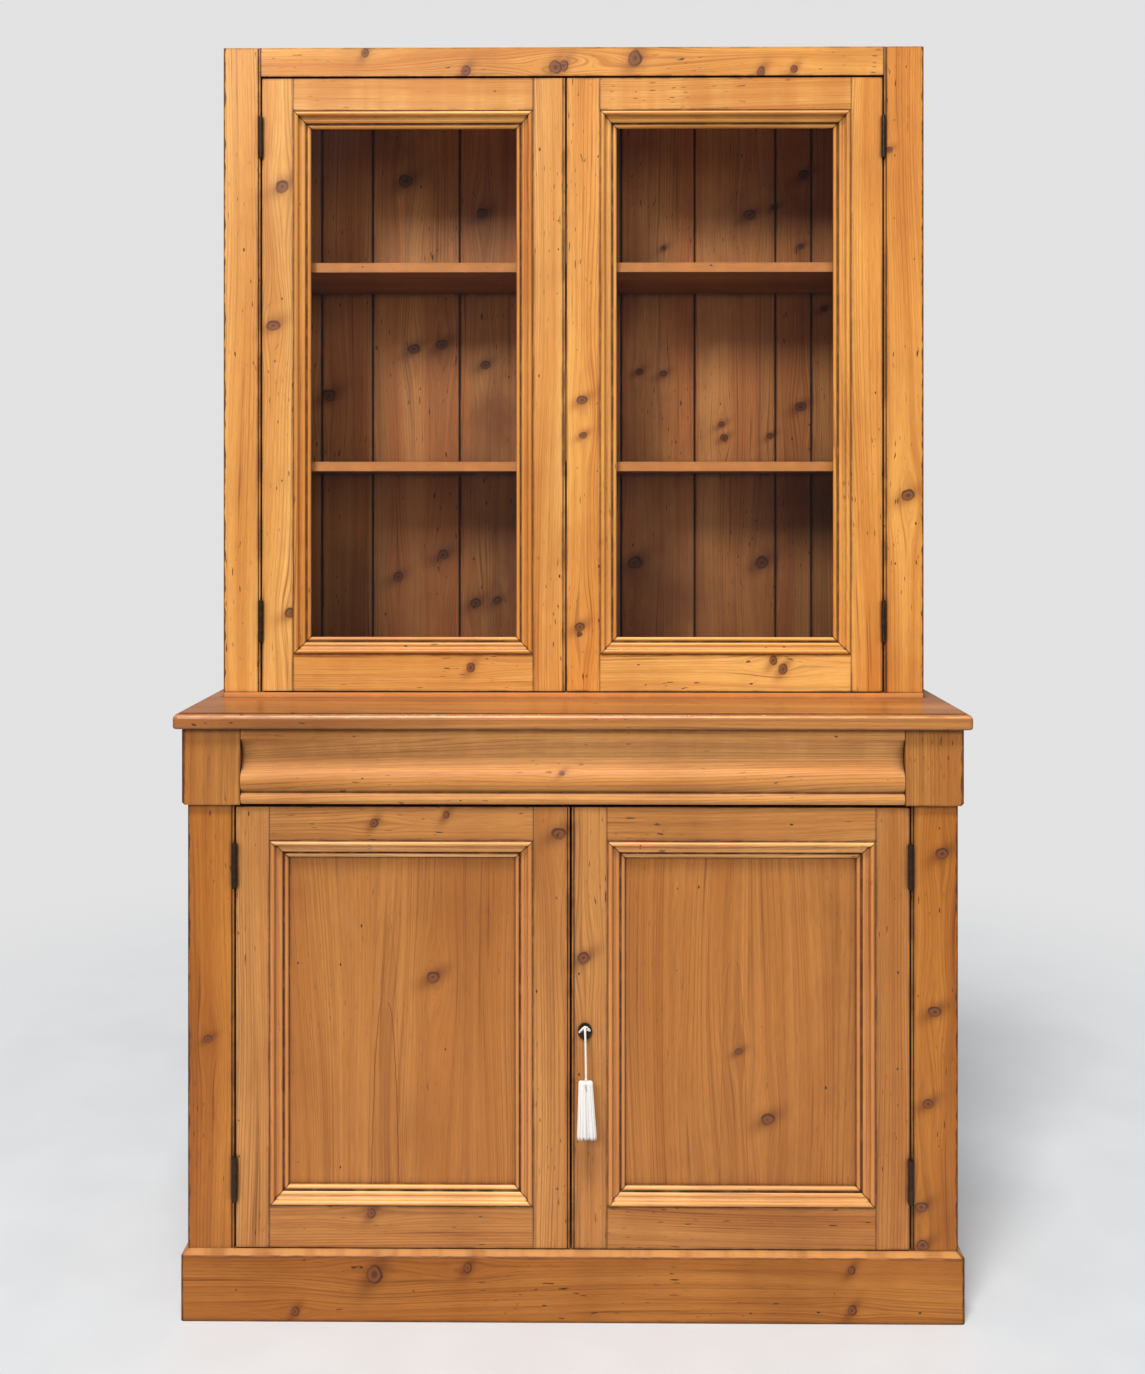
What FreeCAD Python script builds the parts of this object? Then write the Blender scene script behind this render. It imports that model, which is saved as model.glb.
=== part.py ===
import FreeCAD, Part
import math
import os
import re

import Sketcher

# A two-piece glazed pine dresser: a glazed upper cupboard stands on a lower cupboard with one long
# frieze drawer and two panelled doors. Millimetres. +X is to the right seen from the front, +Y is to
# the back and +Z is up. The origin is in the middle of the dresser's footprint, on the floor.

doc = FreeCAD.newDocument("glazed_dresser")
sheet = doc.addObject("Spreadsheet::Sheet", "sizes")

SIZES = {
    # Lower cupboard
    "lower_width": 1210,
    "lower_depth": 455,
    "door_zone_height": 699,
    "frieze_height": 120,
    "frieze_overhang": 7,
    "frieze_block_width": 91,
    "side_thickness": 20,
    "pilaster_width": 73.5,
    "frame_thickness": 22,
    "back_thickness": 12,
    "lower_back_boards": 8,
    "lower_shelf_thickness": 18,
    "lower_shelf_height": 440,
    "lower_shelf_setback": 120,
    "block_chamfer": 4,
    # Plinth and floor
    "plinth_height": 110,
    "plinth_projection": 9,
    "plinth_thickness": 20,
    "plinth_chamfer": 9,
    "plinth_corner_radius": 6,
    "floor_thickness": 18,
    # Worktop
    "worktop_thickness": 25,
    "worktop_overhang": 13,
    "worktop_edge_width": 10,
    "worktop_step": 1.5,
    "worktop_ovolo": 8.4,
    "worktop_under_round": 4,
    "worktop_corner_radius": 9,
    # Drawer
    "drawer_gap": 1,
    "drawer_top_gap": 2,
    "drawer_board": 12,
    "drawer_side_height": 92,
    "drawer_length": 385,
    "drawer_bottom_thickness": 8,
    "drawer_bottom_rise": 8,
    "drawer_run_gap": 0.5,
    "drawer_bead_height": 17,
    "drawer_bulge_height": 38,
    "drawer_fillet_height": 15,
    "drawer_quirk": 1.2,
    "drawer_bead_rise": 4,
    "drawer_bulge_rise": 9.5,
    "drawer_cove_rise": 7,
    "rail_thickness": 18,
    "rail_depth": 60,
    "rail_drop": 2.5,
    "runner_width": 80,
    "guide_height": 26,
    # Upper cupboard
    "upper_inset": 14,
    "upper_depth": 293,
    "upper_height": 1096,
    "upper_left_stile": 63.5,
    "upper_right_stile": 67.5,
    "upper_top_rail_height": 48,
    "base_strip_height": 8,
    "base_strip_projection": 3,
    "base_strip_inset": 3,
    "upper_floor_thickness": 16,
    "upper_board_thickness": 16,
    "shelf_thickness": 16,
    "middle_shelf_height": 382,
    "top_shelf_height": 721.5,
    "batten_width": 14,
    "batten_height": 20,
    "shelf_clearance": 0.5,
    "upper_corner_radius": 5,
    # Doors
    "door_thickness": 26,
    "hinge_gap": 2.6,
    "meeting_gap": 2.8,
    "lower_meeting_offset": -2,
    "upper_meeting_offset": -11.6,
    "lower_door_rise": 2,
    "lower_door_drop": 2,
    "upper_door_rise": 2.5,
    "upper_door_drop": 4,
    "hinge_stile": 52,
    "left_meeting_stile": 57,
    "upper_left_meeting_stile": 53.5,
    "right_meeting_stile": 55,
    "upper_door_top_rail": 53.5,
    "upper_door_bottom_rail": 61,
    "lower_door_top_rail": 52,
    "lower_door_bottom_rail": 64.7,
    "tenon_length": 30,
    "tenon_thickness": 8,
    "tenon_height": 34,
    "panel_thickness": 7,
    "glass_thickness": 3,
    "rebate_width": 8,
    "panel_clearance": 0.5,
    "stop_depth": 13,
    "stop_width": 80,
    "stop_height": 16,
    "stop_gap": 0.5,
    # Quirk bead run along an edge
    "bead_width": 3.4,
    "quirk_width": 1.2,
    "quirk_depth": 3,
    # Door moulding, from its outer edge inwards
    "moulding_width": 29,
    "moulding_depth": 14,
    "outer_quirk": 2.4,
    "torus_width": 6.6,
    "torus_rise": 3.6,
    "cove_width": 5,
    "cove_drop": 4.4,
    "reverse_width": 6,
    "reverse_drop": 1.6,
    "inner_quirk": 2.2,
    "inner_quirk_depth": 10.6,
    "inner_bead_rise": 3,
    # Butt hinges
    "hinge_height": 68,
    "hinge_leaf_width": 19,
    "hinge_leaf_thickness": 1.2,
    "hinge_clearance": 0.3,
    "upper_knuckle_radius": 3.6,
    "lower_knuckle_radius": 4.3,
    "pin_radius": 1.7,
    "pin_clearance": 0.05,
    "pin_head_height": 1.5,
    "screw_radius": 1.6,
    "screw_head_radius": 3.2,
    "screw_length": 15,
    "upper_hinge_from_top": 100,
    "upper_hinge_from_bottom": 118,
    "lower_hinge_from_top": 92,
    "lower_hinge_from_bottom": 108,
    # Lock, key and tassel
    "key_height": 453.3,
    "key_from_edge": 20.9,
    "key_projection": 24,
    "key_bow_height": 25,
    "key_bow_length": 19,
    "key_bow_thickness": 4,
    "key_bow_ring": 4,
    "key_shank_radius": 2.5,
    "key_bit_length": 8,
    "key_bit_radius": 11,
    "key_bit_thickness": 2.5,
    "key_clearance": 0.08,
    "escutcheon_width": 22,
    "escutcheon_height": 26,
    "escutcheon_thickness": 2,
    "keyhole_radius": 3.4,
    "keyhole_slot": 3.6,
    "lock_width": 58,
    "lock_height": 44,
    "lock_depth": 14,
    "lock_wall": 1.6,
    "lock_inset": 1,
    "bolt_height": 14,
    "bolt_thickness": 6,
    "bolt_length": 46,
    "bolt_throw": 12,
    "bolt_notch_depth": 6.2,
    "bolt_notch_start": 10,
    "bolt_notch_end": 19.5,
    "bolt_clearance": 0.4,
    "cord_radius": 1.5,
    "cord_drop": 66,
    "cord_front_gap": 0.4,
    "tassel_height": 93,
    "tassel_top_radius": 10.9,
    "tassel_bottom_radius": 15.2,
    "tassel_shoulder": 2.5,
    # Slide bolt inside the left lower door
    "slide_bolt_radius": 3,
    "slide_bolt_length": 80,
    "slide_bolt_travel": 14,
    "slide_bolt_below_rail": 3.5,
    "slide_bolt_from_edge": 28,
    "slide_bolt_clearance": 0.1,
    "staple_thickness": 5,
    "staple_width": 14,
    "staple_depth": 12,
    "bolt_plate_thickness": 1.5,
    "bolt_plate_width": 20,
    "bolt_plate_height": 62,
    "bolt_knob_radius": 4,
    "bolt_knob_length": 9,
}

# Places that follow from the sizes
PLACES = {
    "lower_half": "lower_width / 2",
    "block_half": "lower_half + frieze_overhang",
    "worktop_half": "block_half + worktop_overhang",
    "plinth_half": "lower_half + plinth_projection",
    "upper_half": "lower_half - upper_inset",
    "worktop_depth": "lower_depth + frieze_overhang + worktop_overhang",
    "key_reach": "max(0; key_projection - frieze_overhang - worktop_overhang)",
    "back": "(worktop_depth + key_reach) / 2",
    "face": "back - lower_depth",
    "block_front": "face - frieze_overhang",
    "worktop_front": "back - worktop_depth",
    "plinth_front_face": "face - plinth_projection",
    "frame_back": "face + frame_thickness",
    "door_back": "face + door_thickness",
    "back_board_face": "back - back_thickness",
    "frieze_bottom": "plinth_height + door_zone_height",
    "frieze_top": "frieze_bottom + frieze_height",
    "worktop_top": "frieze_top + worktop_thickness",
    "top": "worktop_top + upper_height",
    "opening_half": "lower_half - pilaster_width",
    "block_inner": "block_half - frieze_block_width",
    "inside_half": "lower_half - side_thickness",
    "rail_bottom": "frieze_bottom - rail_drop",
    "rail_top": "rail_bottom + rail_thickness",
    "rail_front": "frame_back + drawer_run_gap",
    "drawer_half": "block_inner - drawer_gap",
    "drawer_bottom": "frieze_bottom + drawer_gap",
    "drawer_top": "frieze_top - drawer_top_gap",
    "drawer_box_bottom": "rail_top + drawer_run_gap",
    "drawer_box_back": "frame_back + drawer_length",
    "upper_face": "back - upper_depth",
    "upper_frame_back": "upper_face + frame_thickness",
    "upper_door_back": "upper_face + door_thickness",
    "strip_top": "worktop_top + base_strip_height",
    "upper_floor_top": "worktop_top + upper_floor_thickness",
    "upper_inside_half": "upper_half - side_thickness",
    "upper_rail_bottom": "top - upper_top_rail_height",
    "top_board_bottom": "top - upper_board_thickness",
    "shelf_front": "upper_door_back + 4 * stop_gap",
}

ALIASES = set(SIZES)
WORD = re.compile(r"[a-z][a-z_0-9]*")
NODES = {}


def formula(rule):
    """Write a rule out in full in the cells of the size sheet."""

    def spell(match):
        word = match.group(0)
        if word in PLACES:
            return "(" + formula(PLACES[word]) + ")"
        return "sizes." + word if word in ALIASES else word

    return WORD.sub(spell, str(rule))


def value(rule):
    """The number that a rule gives now."""
    return float(sheet.evalExpression(formula(rule)))


def node(label, piece):
    """Give a finished sub-part its name."""
    piece.Label = label
    NODES[label] = piece
    return piece


# Plain pieces


def place(piece, x="0", y="0", z="0"):
    """Tie a piece's position to rules."""
    for axis, rule in (("x", x), ("y", y), ("z", z)):
        piece.setExpression("Placement.Base." + axis, formula(rule))
    return piece


def board(name, x, y, z):
    """A squared board between two rules on each axis."""
    piece = doc.addObject("Part::Box", name)
    for side, (low, high) in (("Length", x), ("Width", y), ("Height", z)):
        piece.setExpression(side, formula("(%s) - (%s)" % (high, low)))
    return place(piece, x[0], y[0], z[0])


def rod(name, radius, length, x, y, z, axis="z"):
    """A round rod that starts at a point and runs along +X, +Y or +Z."""
    turns = {
        "x": FreeCAD.Rotation(FreeCAD.Vector(0, 1, 0), 90),
        "y": FreeCAD.Rotation(FreeCAD.Vector(1, 0, 0), -90),
        "z": FreeCAD.Rotation(),
    }
    piece = doc.addObject("Part::Cylinder", name)
    piece.Placement = FreeCAD.Placement(FreeCAD.Vector(), turns[axis])
    piece.setExpression("Radius", formula(radius))
    piece.setExpression("Height", formula(length))
    return place(piece, x, y, z)


def group(name, pieces):
    """Separate solids that share one node."""
    piece = doc.addObject("Part::Compound", name)
    piece.Links = pieces
    return piece


def join(name, pieces):
    """Pieces of one solid."""
    piece = doc.addObject("Part::MultiFuse", name)
    piece.Shapes = pieces
    piece.Refine = True
    return piece


def cut(name, base, tools):
    """A piece with the tools taken out of it."""
    piece = doc.addObject("Part::Cut", name)
    piece.Base = base
    piece.Tool = tools[0] if len(tools) == 1 else group(name + "_tools", tools)
    return piece


# Drawn pieces


def arc_between(start, finish, rise):
    """The arc whose middle stands off the chord by rise, to the right of the way from start to finish."""
    chord = finish - start
    right = FreeCAD.Vector(chord.y, -chord.x, 0).normalize()
    radius = (chord.Length ** 2 / 4 + rise ** 2) / (2 * abs(rise))
    centre = (start + finish) * 0.5 + right * (rise - math.copysign(radius, rise))
    first, last = (start, finish) if rise > 0 else (finish, start)
    angles = [math.atan2(point.y - centre.y, point.x - centre.x) for point in (first, last)]
    if angles[1] < angles[0]:
        angles[1] += 2 * math.pi
    circle = Part.Circle(centre, FreeCAD.Vector(0, 0, 1), radius)
    return Part.ArcOfCircle(circle, angles[0], angles[1])


def outline(body, plane, corners, spot=lambda a, b: (a, b), hand=1, lift=None):
    """A closed sketch through corners, each given by two rules; a third rule bows the side after it."""
    sketch = body.newObject("Sketcher::SketchObject", body.Name + "_outline")
    flat = [feature for feature in body.Origin.OriginFeatures if feature.Role == plane][0]
    sketch.AttachmentSupport = [(flat, "")]
    sketch.MapMode = "FlatFace"
    if lift:
        sketch.setExpression("AttachmentOffset.Base.z", formula(lift))
    rules = [spot(corner[0], corner[1]) for corner in corners]
    points = [FreeCAD.Vector(value(across), value(up), 0) for across, up in rules]
    count = len(corners)
    first_end, last_end = [], []
    limits, bound = [], {}
    for number, corner in enumerate(corners):
        start, finish = points[number], points[(number + 1) % count]
        if len(corner) == 2:
            sketch.addGeometry(Part.LineSegment(start, finish), False)
            first_end.append(1)
            last_end.append(2)
            continue
        rise = hand * value(corner[2])
        sketch.addGeometry(arc_between(start, finish, rise), False)
        first_end.append(1 if rise > 0 else 2)
        last_end.append(2 if rise > 0 else 1)
        chord = (finish - start).Length
        radius = (chord ** 2 / 4 + rise ** 2) / (2 * abs(rise))
        (a1, b1), (a2, b2) = rules[number], rules[(number + 1) % count]
        square = "((%s) - (%s)) ^ 2 + ((%s) - (%s)) ^ 2" % (a1, a2, b1, b2)
        bound[len(limits)] = "(%s) / (8 * abs(%s)) + abs(%s) / 2" % (square, corner[2], corner[2])
        limits.append(Sketcher.Constraint("Radius", number, radius))
    for number in range(count):
        after = (number + 1) % count
        limits.append(
            Sketcher.Constraint("Coincident", number, last_end[number], after, first_end[after]))
    for number, (across, up) in enumerate(rules):
        for kind, rule, now in (("DistanceX", across, points[number].x), ("DistanceY", up, points[number].y)):
            bound[len(limits)] = rule
            limits.append(Sketcher.Constraint(kind, -1, 1, number, first_end[number], now))
    sketch.addConstraint(limits)
    for number, rule in bound.items():
        sketch.setExpression("Constraints[%d]" % number, formula(rule))
    return sketch


def prism(name, plane, corners, length, base="0", spot=lambda a, b: (a, b), hand=1):
    """A body drawn on an origin plane and padded: XY runs up, YZ runs right and XZ runs forward."""
    body = doc.addObject("PartDesign::Body", name)
    sketch = outline(body, plane, corners, spot, hand)
    pad = body.newObject("PartDesign::Pad", name + "_pad")
    pad.Profile = sketch
    pad.setExpression("Length", formula(length))
    axis = {"XY_Plane": "z", "YZ_Plane": "x", "XZ_Plane": "y"}[plane]
    body.setExpression("Placement.Base." + axis, formula(base))
    return body


def edges_where(piece, test):
    """The names of the edges whose every end passes a test."""
    names = []
    for number, edge in enumerate(piece.Shape.Edges, start=1):
        if all(test(vertex.Point) for vertex in edge.Vertexes):
            names.append("Edge%d" % number)
    return names


def soften(body, kind, feature, names, size):
    """Round or chamfer named edges of a body's feature."""
    dressing = body.newObject("PartDesign::" + kind, body.Name + "_" + kind.lower())
    dressing.Base = (feature, names)
    dressing.setExpression("Radius" if kind == "Fillet" else "Size", formula(size))
    doc.recompute()
    return dressing


QUARTER = "(1 - sqrt(2) / 2)"


def stile_corners(width, thickness, groove=None, bead=False, round_off="0.8"):
    """A stile in plan: across from its outer edge, deep from its face, with what is worked on it."""
    corners = [("0", thickness), ("0", round_off, "%s * %s" % (round_off, QUARTER)), (round_off, "0")]
    if bead:
        near = "%s - bead_width" % width
        corners += [
            ("%s - quirk_width" % near, "0"),
            ("%s - quirk_width" % near, "quirk_depth"),
            (near, "quirk_depth"),
            (near, "bead_width / 2", "bead_width / 2 * 0.999"),
            (width, "bead_width / 2"),
        ]
    else:
        corners += [(width, "0")]
    if groove:
        deep = "%s - rebate_width" % width
        corners += [(width, groove[0]), (deep, groove[0]), (deep, groove[1])]
        if groove[1] != thickness:
            corners += [(width, groove[1]), (width, thickness)]
    else:
        corners += [(width, thickness)]
    return corners


def upright(name, edge, side, corners, face, z):
    """A stile drawn in plan from its outer edge; side is 1 where it widens to the right, -1 to the left."""

    def spot(across, deep):
        return "(%s) + (%d) * (%s)" % (edge, side, across), "(%s) + (%s)" % (face, deep)

    return prism(name, "XY_Plane", corners, "(%s) - (%s)" % (z[1], z[0]), z[0], spot, side)


# Lower cupboard


def plinth():
    """Three boards, mitred at the front corners, with a bevelled top and rounded corners."""
    inner = "plinth_half - plinth_thickness"
    inner_y = "plinth_front_face + plinth_thickness"
    front = [
        ("-(%s)" % inner, inner_y),
        ("-plinth_half", "plinth_front_face"),
        ("plinth_half", "plinth_front_face"),
        (inner, inner_y),
    ]
    bodies = [prism("plinth_front_board", "XY_Plane", front, "plinth_height")]
    for name, side in (("plinth_left_board", -1), ("plinth_right_board", 1)):
        corners = [
            (inner, inner_y), ("plinth_half", "plinth_front_face"), ("plinth_half", "back"), (inner, "back"),
        ]

        def spot(across, deep, side=side):
            return "(%d) * (%s)" % (side, across), deep

        bodies.append(prism(name, "XY_Plane", corners, "plinth_height", "0", spot))
    doc.recompute()
    high, half, front_y = value("plinth_height"), value("plinth_half"), value("plinth_front_face")

    def top_front(point):
        return abs(point.z - high) < 0.01 and abs(point.y - front_y) < 0.01

    def top_side(point):
        return abs(point.z - high) < 0.01 and abs(abs(point.x) - half) < 0.01

    for body, test in zip(bodies, (top_front, top_side, top_side)):
        body.Tip = soften(body, "Chamfer", body.Tip, edges_where(body.Tip, test), "plinth_chamfer")
    corners = []
    for name, side in (("left", -1), ("right", 1)):
        near, far = "(%d) * (plinth_half - plinth_corner_radius)" % side, "(%d) * (plinth_half + 1)" % side
        block = board(
            "plinth_%s_corner" % name, (near, far) if side > 0 else (far, near),
            ("plinth_front_face - 1", "plinth_front_face + plinth_corner_radius"), ("-1", "plinth_height + 1"))
        round_part = rod("plinth_%s_round" % name, "plinth_corner_radius", "plinth_height + 4", near,
                         "plinth_front_face + plinth_corner_radius", "-2")
        corners.append(cut("plinth_%s_corner_tool" % name, block, [round_part]))
    node("plinth_boards", cut("plinth_rounded", group("plinth_group", bodies), corners))


def lower_carcass():
    """Sides, floor, back, inner shelf, pilasters and frieze blocks."""
    for name, low, high in (
        ("lower_left_side", "-lower_half", "-inside_half"),
        ("lower_right_side", "inside_half", "lower_half"),
    ):
        side = board(name + "_board", (low, high), ("frame_back", "back"), ("plinth_height", "frieze_top"))
        node(name, side)
    plinth_inside = "plinth_half - plinth_thickness"
    floor = board(
        "floor_board",
        ("-(%s)" % plinth_inside, plinth_inside),
        ("plinth_front_face + plinth_thickness", "back"),
        ("plinth_height - floor_thickness", "plinth_height"),
    )
    node("lower_floor", floor)
    boards = int(value("lower_back_boards"))
    step = "(2 * inside_half / %d)" % boards
    backs = [
        board(
            "lower_back_board_%d" % number,
            ("-inside_half + %d * %s" % (number, step), "-inside_half + %d * %s" % (number + 1, step)),
            ("back_board_face", "back"),
            ("plinth_height", "frieze_top"),
        )
        for number in range(boards)
    ]
    node("lower_back_boards", group("lower_back_group", backs))
    shelf = board(
        "lower_shelf_board",
        ("-inside_half + shelf_clearance", "inside_half - shelf_clearance"),
        ("face + lower_shelf_setback", "back_board_face - shelf_clearance"),
        ("lower_shelf_height", "lower_shelf_height + lower_shelf_thickness"),
    )
    node("lower_shelf", shelf)
    pilaster = stile_corners("pilaster_width", "frame_thickness", bead=True, round_off="2.5")
    heights = ("plinth_height", "frieze_bottom")
    node("left_pilaster", upright("left_pilaster_body", "-lower_half", 1, pilaster, "face", heights))
    node("right_pilaster", upright("right_pilaster_body", "lower_half", -1, pilaster, "face", heights))
    for label, side in (("left_frieze_block", -1), ("right_frieze_block", 1)):
        corners = [
            ("block_inner", "frieze_bottom"),
            ("block_half - block_chamfer", "frieze_bottom"),
            ("block_half", "frieze_bottom + block_chamfer"),
            ("block_half", "frieze_top"),
            ("block_inner", "frieze_top"),
        ]

        def spot(across, up, side=side):
            return "(%d) * (%s)" % (side, across), up

        deep = "frame_thickness + frieze_overhang"
        block = prism(label + "_body", "XZ_Plane", corners, deep, "frame_back", spot, side)
        node(label, block)


def drawer_carriage():
    """The rail under the drawer, and a runner and a guide on each side."""
    rail = board(
        "drawer_rail_board",
        ("-inside_half", "inside_half"),
        ("rail_front", "rail_front + rail_depth"),
        ("rail_bottom", "rail_top"),
    )
    bolt_hole = rod(
        "bolt_hole",
        "slide_bolt_radius + 4 * slide_bolt_clearance",
        "slide_bolt_travel",
        "slide_bolt_x",
        "slide_bolt_y",
        "rail_bottom - 0.5",
    )
    node("drawer_rail", cut("drawer_rail_cut", rail, [bolt_hole]))
    pieces = []
    for name, side in (("left", -1), ("right", 1)):
        for kind, inner, low, high in (
            ("runner", "inside_half - runner_width", "rail_bottom", "rail_top"),
            ("guide", "drawer_half + drawer_gap", "rail_top", "rail_top + guide_height"),
        ):
            ends = (inner, "inside_half") if side > 0 else ("-inside_half", "-(%s)" % inner)
            start = "rail_front + rail_depth" if kind == "runner" else "rail_front"
            pieces.append(board("%s_%s" % (name, kind), ends, (start, "back_board_face"), (low, high)))
    node("drawer_runners", group("runner_group", pieces))


def worktop():
    """A board with rounded front corners, a small step and an ovolo along its front and ends."""
    body = doc.addObject("PartDesign::Body", "worktop_body")

    def slab(inset, low, thick, radius):
        half = "(worktop_half - %s)" % inset
        front = "(worktop_front + %s)" % inset
        corners = [
            ("-%s" % half, "back"),
            ("-%s" % half, "%s + %s" % (front, radius), "%s * %s" % (radius, QUARTER)),
            ("-%s + %s" % (half, radius), front),
            ("%s - %s" % (half, radius), front, "%s * %s" % (radius, QUARTER)),
            (half, "%s + %s" % (front, radius)),
            (half, "back"),
        ]
        sketch = outline(body, "XY_Plane", corners, lift=low)
        pad = body.newObject("PartDesign::Pad", "slab")
        pad.Profile = sketch
        pad.setExpression("Length", formula(thick))
        doc.recompute()
        return pad

    pad = slab("0", "0", "worktop_thickness - worktop_step", "worktop_corner_radius")
    high, behind = value("worktop_thickness - worktop_step"), value("back")

    def moulded(level):

        def test(point):
            return abs(point.z - level) < 0.01

        return test

    def off_back(feature, names):
        edges = [(name, feature.Shape.getElement(name)) for name in names]
        return [name for name, edge in edges if abs(edge.CenterOfMass.y - behind) > 0.01]

    top_edges = off_back(pad, edges_where(pad, moulded(high)))
    ovolo = soften(body, "Fillet", pad, top_edges, "worktop_ovolo")
    under_edges = off_back(ovolo, edges_where(ovolo, moulded(0)))
    under = soften(body, "Fillet", ovolo, under_edges, "worktop_under_round")
    body.Tip = under
    body.Tip = slab("worktop_edge_width", "worktop_thickness - worktop_step", "worktop_step", "1.5")
    place(body, z="frieze_top")
    node("worktop", body)


# Drawer


def drawer():
    """Moulded front, two sides, back and bottom."""
    behind = "frame_back"
    low = "drawer_bottom"
    bulge = "%s + drawer_bead_height + drawer_quirk" % low
    cove = "%s + drawer_bulge_height" % bulge
    fillet = "drawer_top - drawer_fillet_height"
    profile = [
        (behind, low),
        ("block_front + 3", low, "drawer_bead_rise"),
        ("block_front + 3", "%s + drawer_bead_height" % low),
        ("block_front + 5", "%s + drawer_bead_height" % low),
        ("block_front + 5", bulge, "drawer_bulge_rise"),
        ("block_front + 9", cove, "-drawer_cove_rise"),
        ("block_front + 1.5", fillet),
        ("block_front + 0.3", fillet),
        ("block_front + 0.3", "drawer_top"),
        (behind, "drawer_top"),
    ]
    clockwise = -1
    front = prism("drawer_front_body", "YZ_Plane", profile, "2 * drawer_half", "-drawer_half", hand=clockwise)
    node("drawer_front", front)
    top = "drawer_box_bottom + drawer_side_height"
    sides = [
        board("drawer_side_" + name, ends, (behind, "drawer_box_back"), ("drawer_box_bottom", top))
        for name, ends in (
            ("left", ("-drawer_half", "-drawer_half + drawer_board")),
            ("right", ("drawer_half - drawer_board", "drawer_half")),
        )
    ]
    node("drawer_sides", group("drawer_side_group", sides))
    inside = ("-drawer_half + drawer_board", "drawer_half - drawer_board")
    bottom_top = "drawer_box_bottom + drawer_bottom_rise + drawer_bottom_thickness"
    back = board(
        "drawer_back_board", inside, ("drawer_box_back - drawer_board", "drawer_box_back"),
        (bottom_top, "%s - 6" % top))
    node("drawer_back", back)
    bottom = board(
        "drawer_bottom_board", inside, (behind, "drawer_box_back"),
        ("drawer_box_bottom + drawer_bottom_rise", bottom_top))
    node("drawer_bottom", bottom)


# Upper cupboard


def upper_carcass():
    """Sides, top, rebated floor, face frame, shelves, battens and tongued back boards."""
    for name, low, high in (
        ("upper_left_side", "-upper_half", "-upper_inside_half"),
        ("upper_right_side", "upper_inside_half", "upper_half"),
    ):
        side = board(name + "_board", (low, high), ("upper_frame_back", "back"), ("worktop_top", "top"))
        node(name, side)
    inside = ("-upper_inside_half", "upper_inside_half")
    deep = ("upper_frame_back", "back_board_face")
    node("upper_top_board", board("top_board", inside, deep, ("top_board_bottom", "top")))
    strip_half = "upper_half - base_strip_inset"
    floor = join("floor_fused", [
        board("base_strip", ("-(%s)" % strip_half, strip_half),
              ("upper_face - base_strip_projection", "upper_frame_back"), ("worktop_top", "strip_top")),
        board("floor_rebate", inside, ("upper_frame_back", "upper_door_back + stop_gap"),
              ("worktop_top", "strip_top")),
        board("floor_back", inside, ("upper_door_back + stop_gap", "back_board_face"),
              ("worktop_top", "upper_floor_top")),
    ])
    node("upper_floor", floor)
    heights = ("strip_top", "top")
    left = stile_corners("upper_left_stile", "frame_thickness", bead=True, round_off="upper_corner_radius")
    right = stile_corners("upper_right_stile", "frame_thickness", bead=True, round_off="upper_corner_radius")
    node("left_frame_stile", upright("left_frame_body", "-upper_half", 1, left, "upper_face", heights))
    node("right_frame_stile", upright("right_frame_body", "upper_half", -1, right, "upper_face", heights))
    rail = board(
        "upper_rail_board",
        ("-upper_half + upper_left_stile", "upper_half - upper_right_stile"),
        ("upper_face", "upper_frame_back"),
        ("upper_rail_bottom", "top"),
    )
    node("upper_top_rail", rail)
    shelf_ends = ("-upper_inside_half + shelf_clearance", "upper_inside_half - shelf_clearance")
    shelves, battens = [], []
    for name, height in (("middle", "middle_shelf_height"), ("top", "top_shelf_height")):
        low = "worktop_top + " + height
        shelves.append(board(
            name + "_shelf_board", shelf_ends, ("shelf_front", "back_board_face - shelf_clearance"),
            (low, "%s + shelf_thickness" % low)))
        for side, ends in (
            ("left", ("-upper_inside_half", "-upper_inside_half + batten_width")),
            ("right", ("upper_inside_half - batten_width", "upper_inside_half")),
        ):
            battens.append(board(
                "%s_%s_batten" % (name, side), ends,
                ("shelf_front + batten_width", "back_board_face"), ("%s - batten_height" % low, low)))
    for side, ends in (
        ("left", ("-inside_half", "-inside_half + batten_width")),
        ("right", ("inside_half - batten_width", "inside_half")),
    ):
        battens.append(board(
            "lower_%s_batten" % side, ends, ("face + lower_shelf_setback + batten_width", "back_board_face"),
            ("lower_shelf_height - batten_height", "lower_shelf_height")))
    node("upper_shelves", group("shelf_group", shelves))
    node("shelf_battens", group("batten_group", battens))


# The joints between the upper back boards, as distances from the left inner side
BACK_JOINTS = {
    "back_joint_1": 94.5,
    "back_joint_2": 190.5,
    "back_joint_3": 354.5,
    "back_joint_4": 518.5,
    "back_joint_5": 659,
    "back_joint_6": 797.5,
    "back_joint_7": 949.5,
    "back_joint_8": 1017,
}
SIZES.update(BACK_JOINTS)
SIZES.update({"back_groove_width": 2.6, "back_groove_depth": 4})
ALIASES.update(SIZES)
PLACES.update({
    "slide_bolt_x": "lower_meeting_offset - meeting_gap / 2 - slide_bolt_from_edge",
    "slide_bolt_y": "door_back + bolt_plate_thickness + staple_depth / 2",
})


def upper_back():
    """Nine boards of mixed widths, each with a groove worked at its joint."""
    left = "-upper_inside_half"
    marks = [left] + ["%s + %s" % (left, joint) for joint in BACK_JOINTS] + ["upper_inside_half"]
    boards, grooves = [], []
    for number in range(len(marks) - 1):
        boards.append(board(
            "upper_back_board_%d" % number, (marks[number], marks[number + 1]),
            ("back_board_face", "back"), ("worktop_top", "top")))
        if number:
            grooves.append(board(
                "back_groove_%d" % number, (marks[number], "%s + back_groove_width" % marks[number]),
                ("back_board_face - 1", "back_board_face + back_groove_depth"),
                ("worktop_top - 1", "top + 1")))
    node("upper_back_boards", cut("upper_back_cut", group("upper_back_group", boards), grooves))


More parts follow.
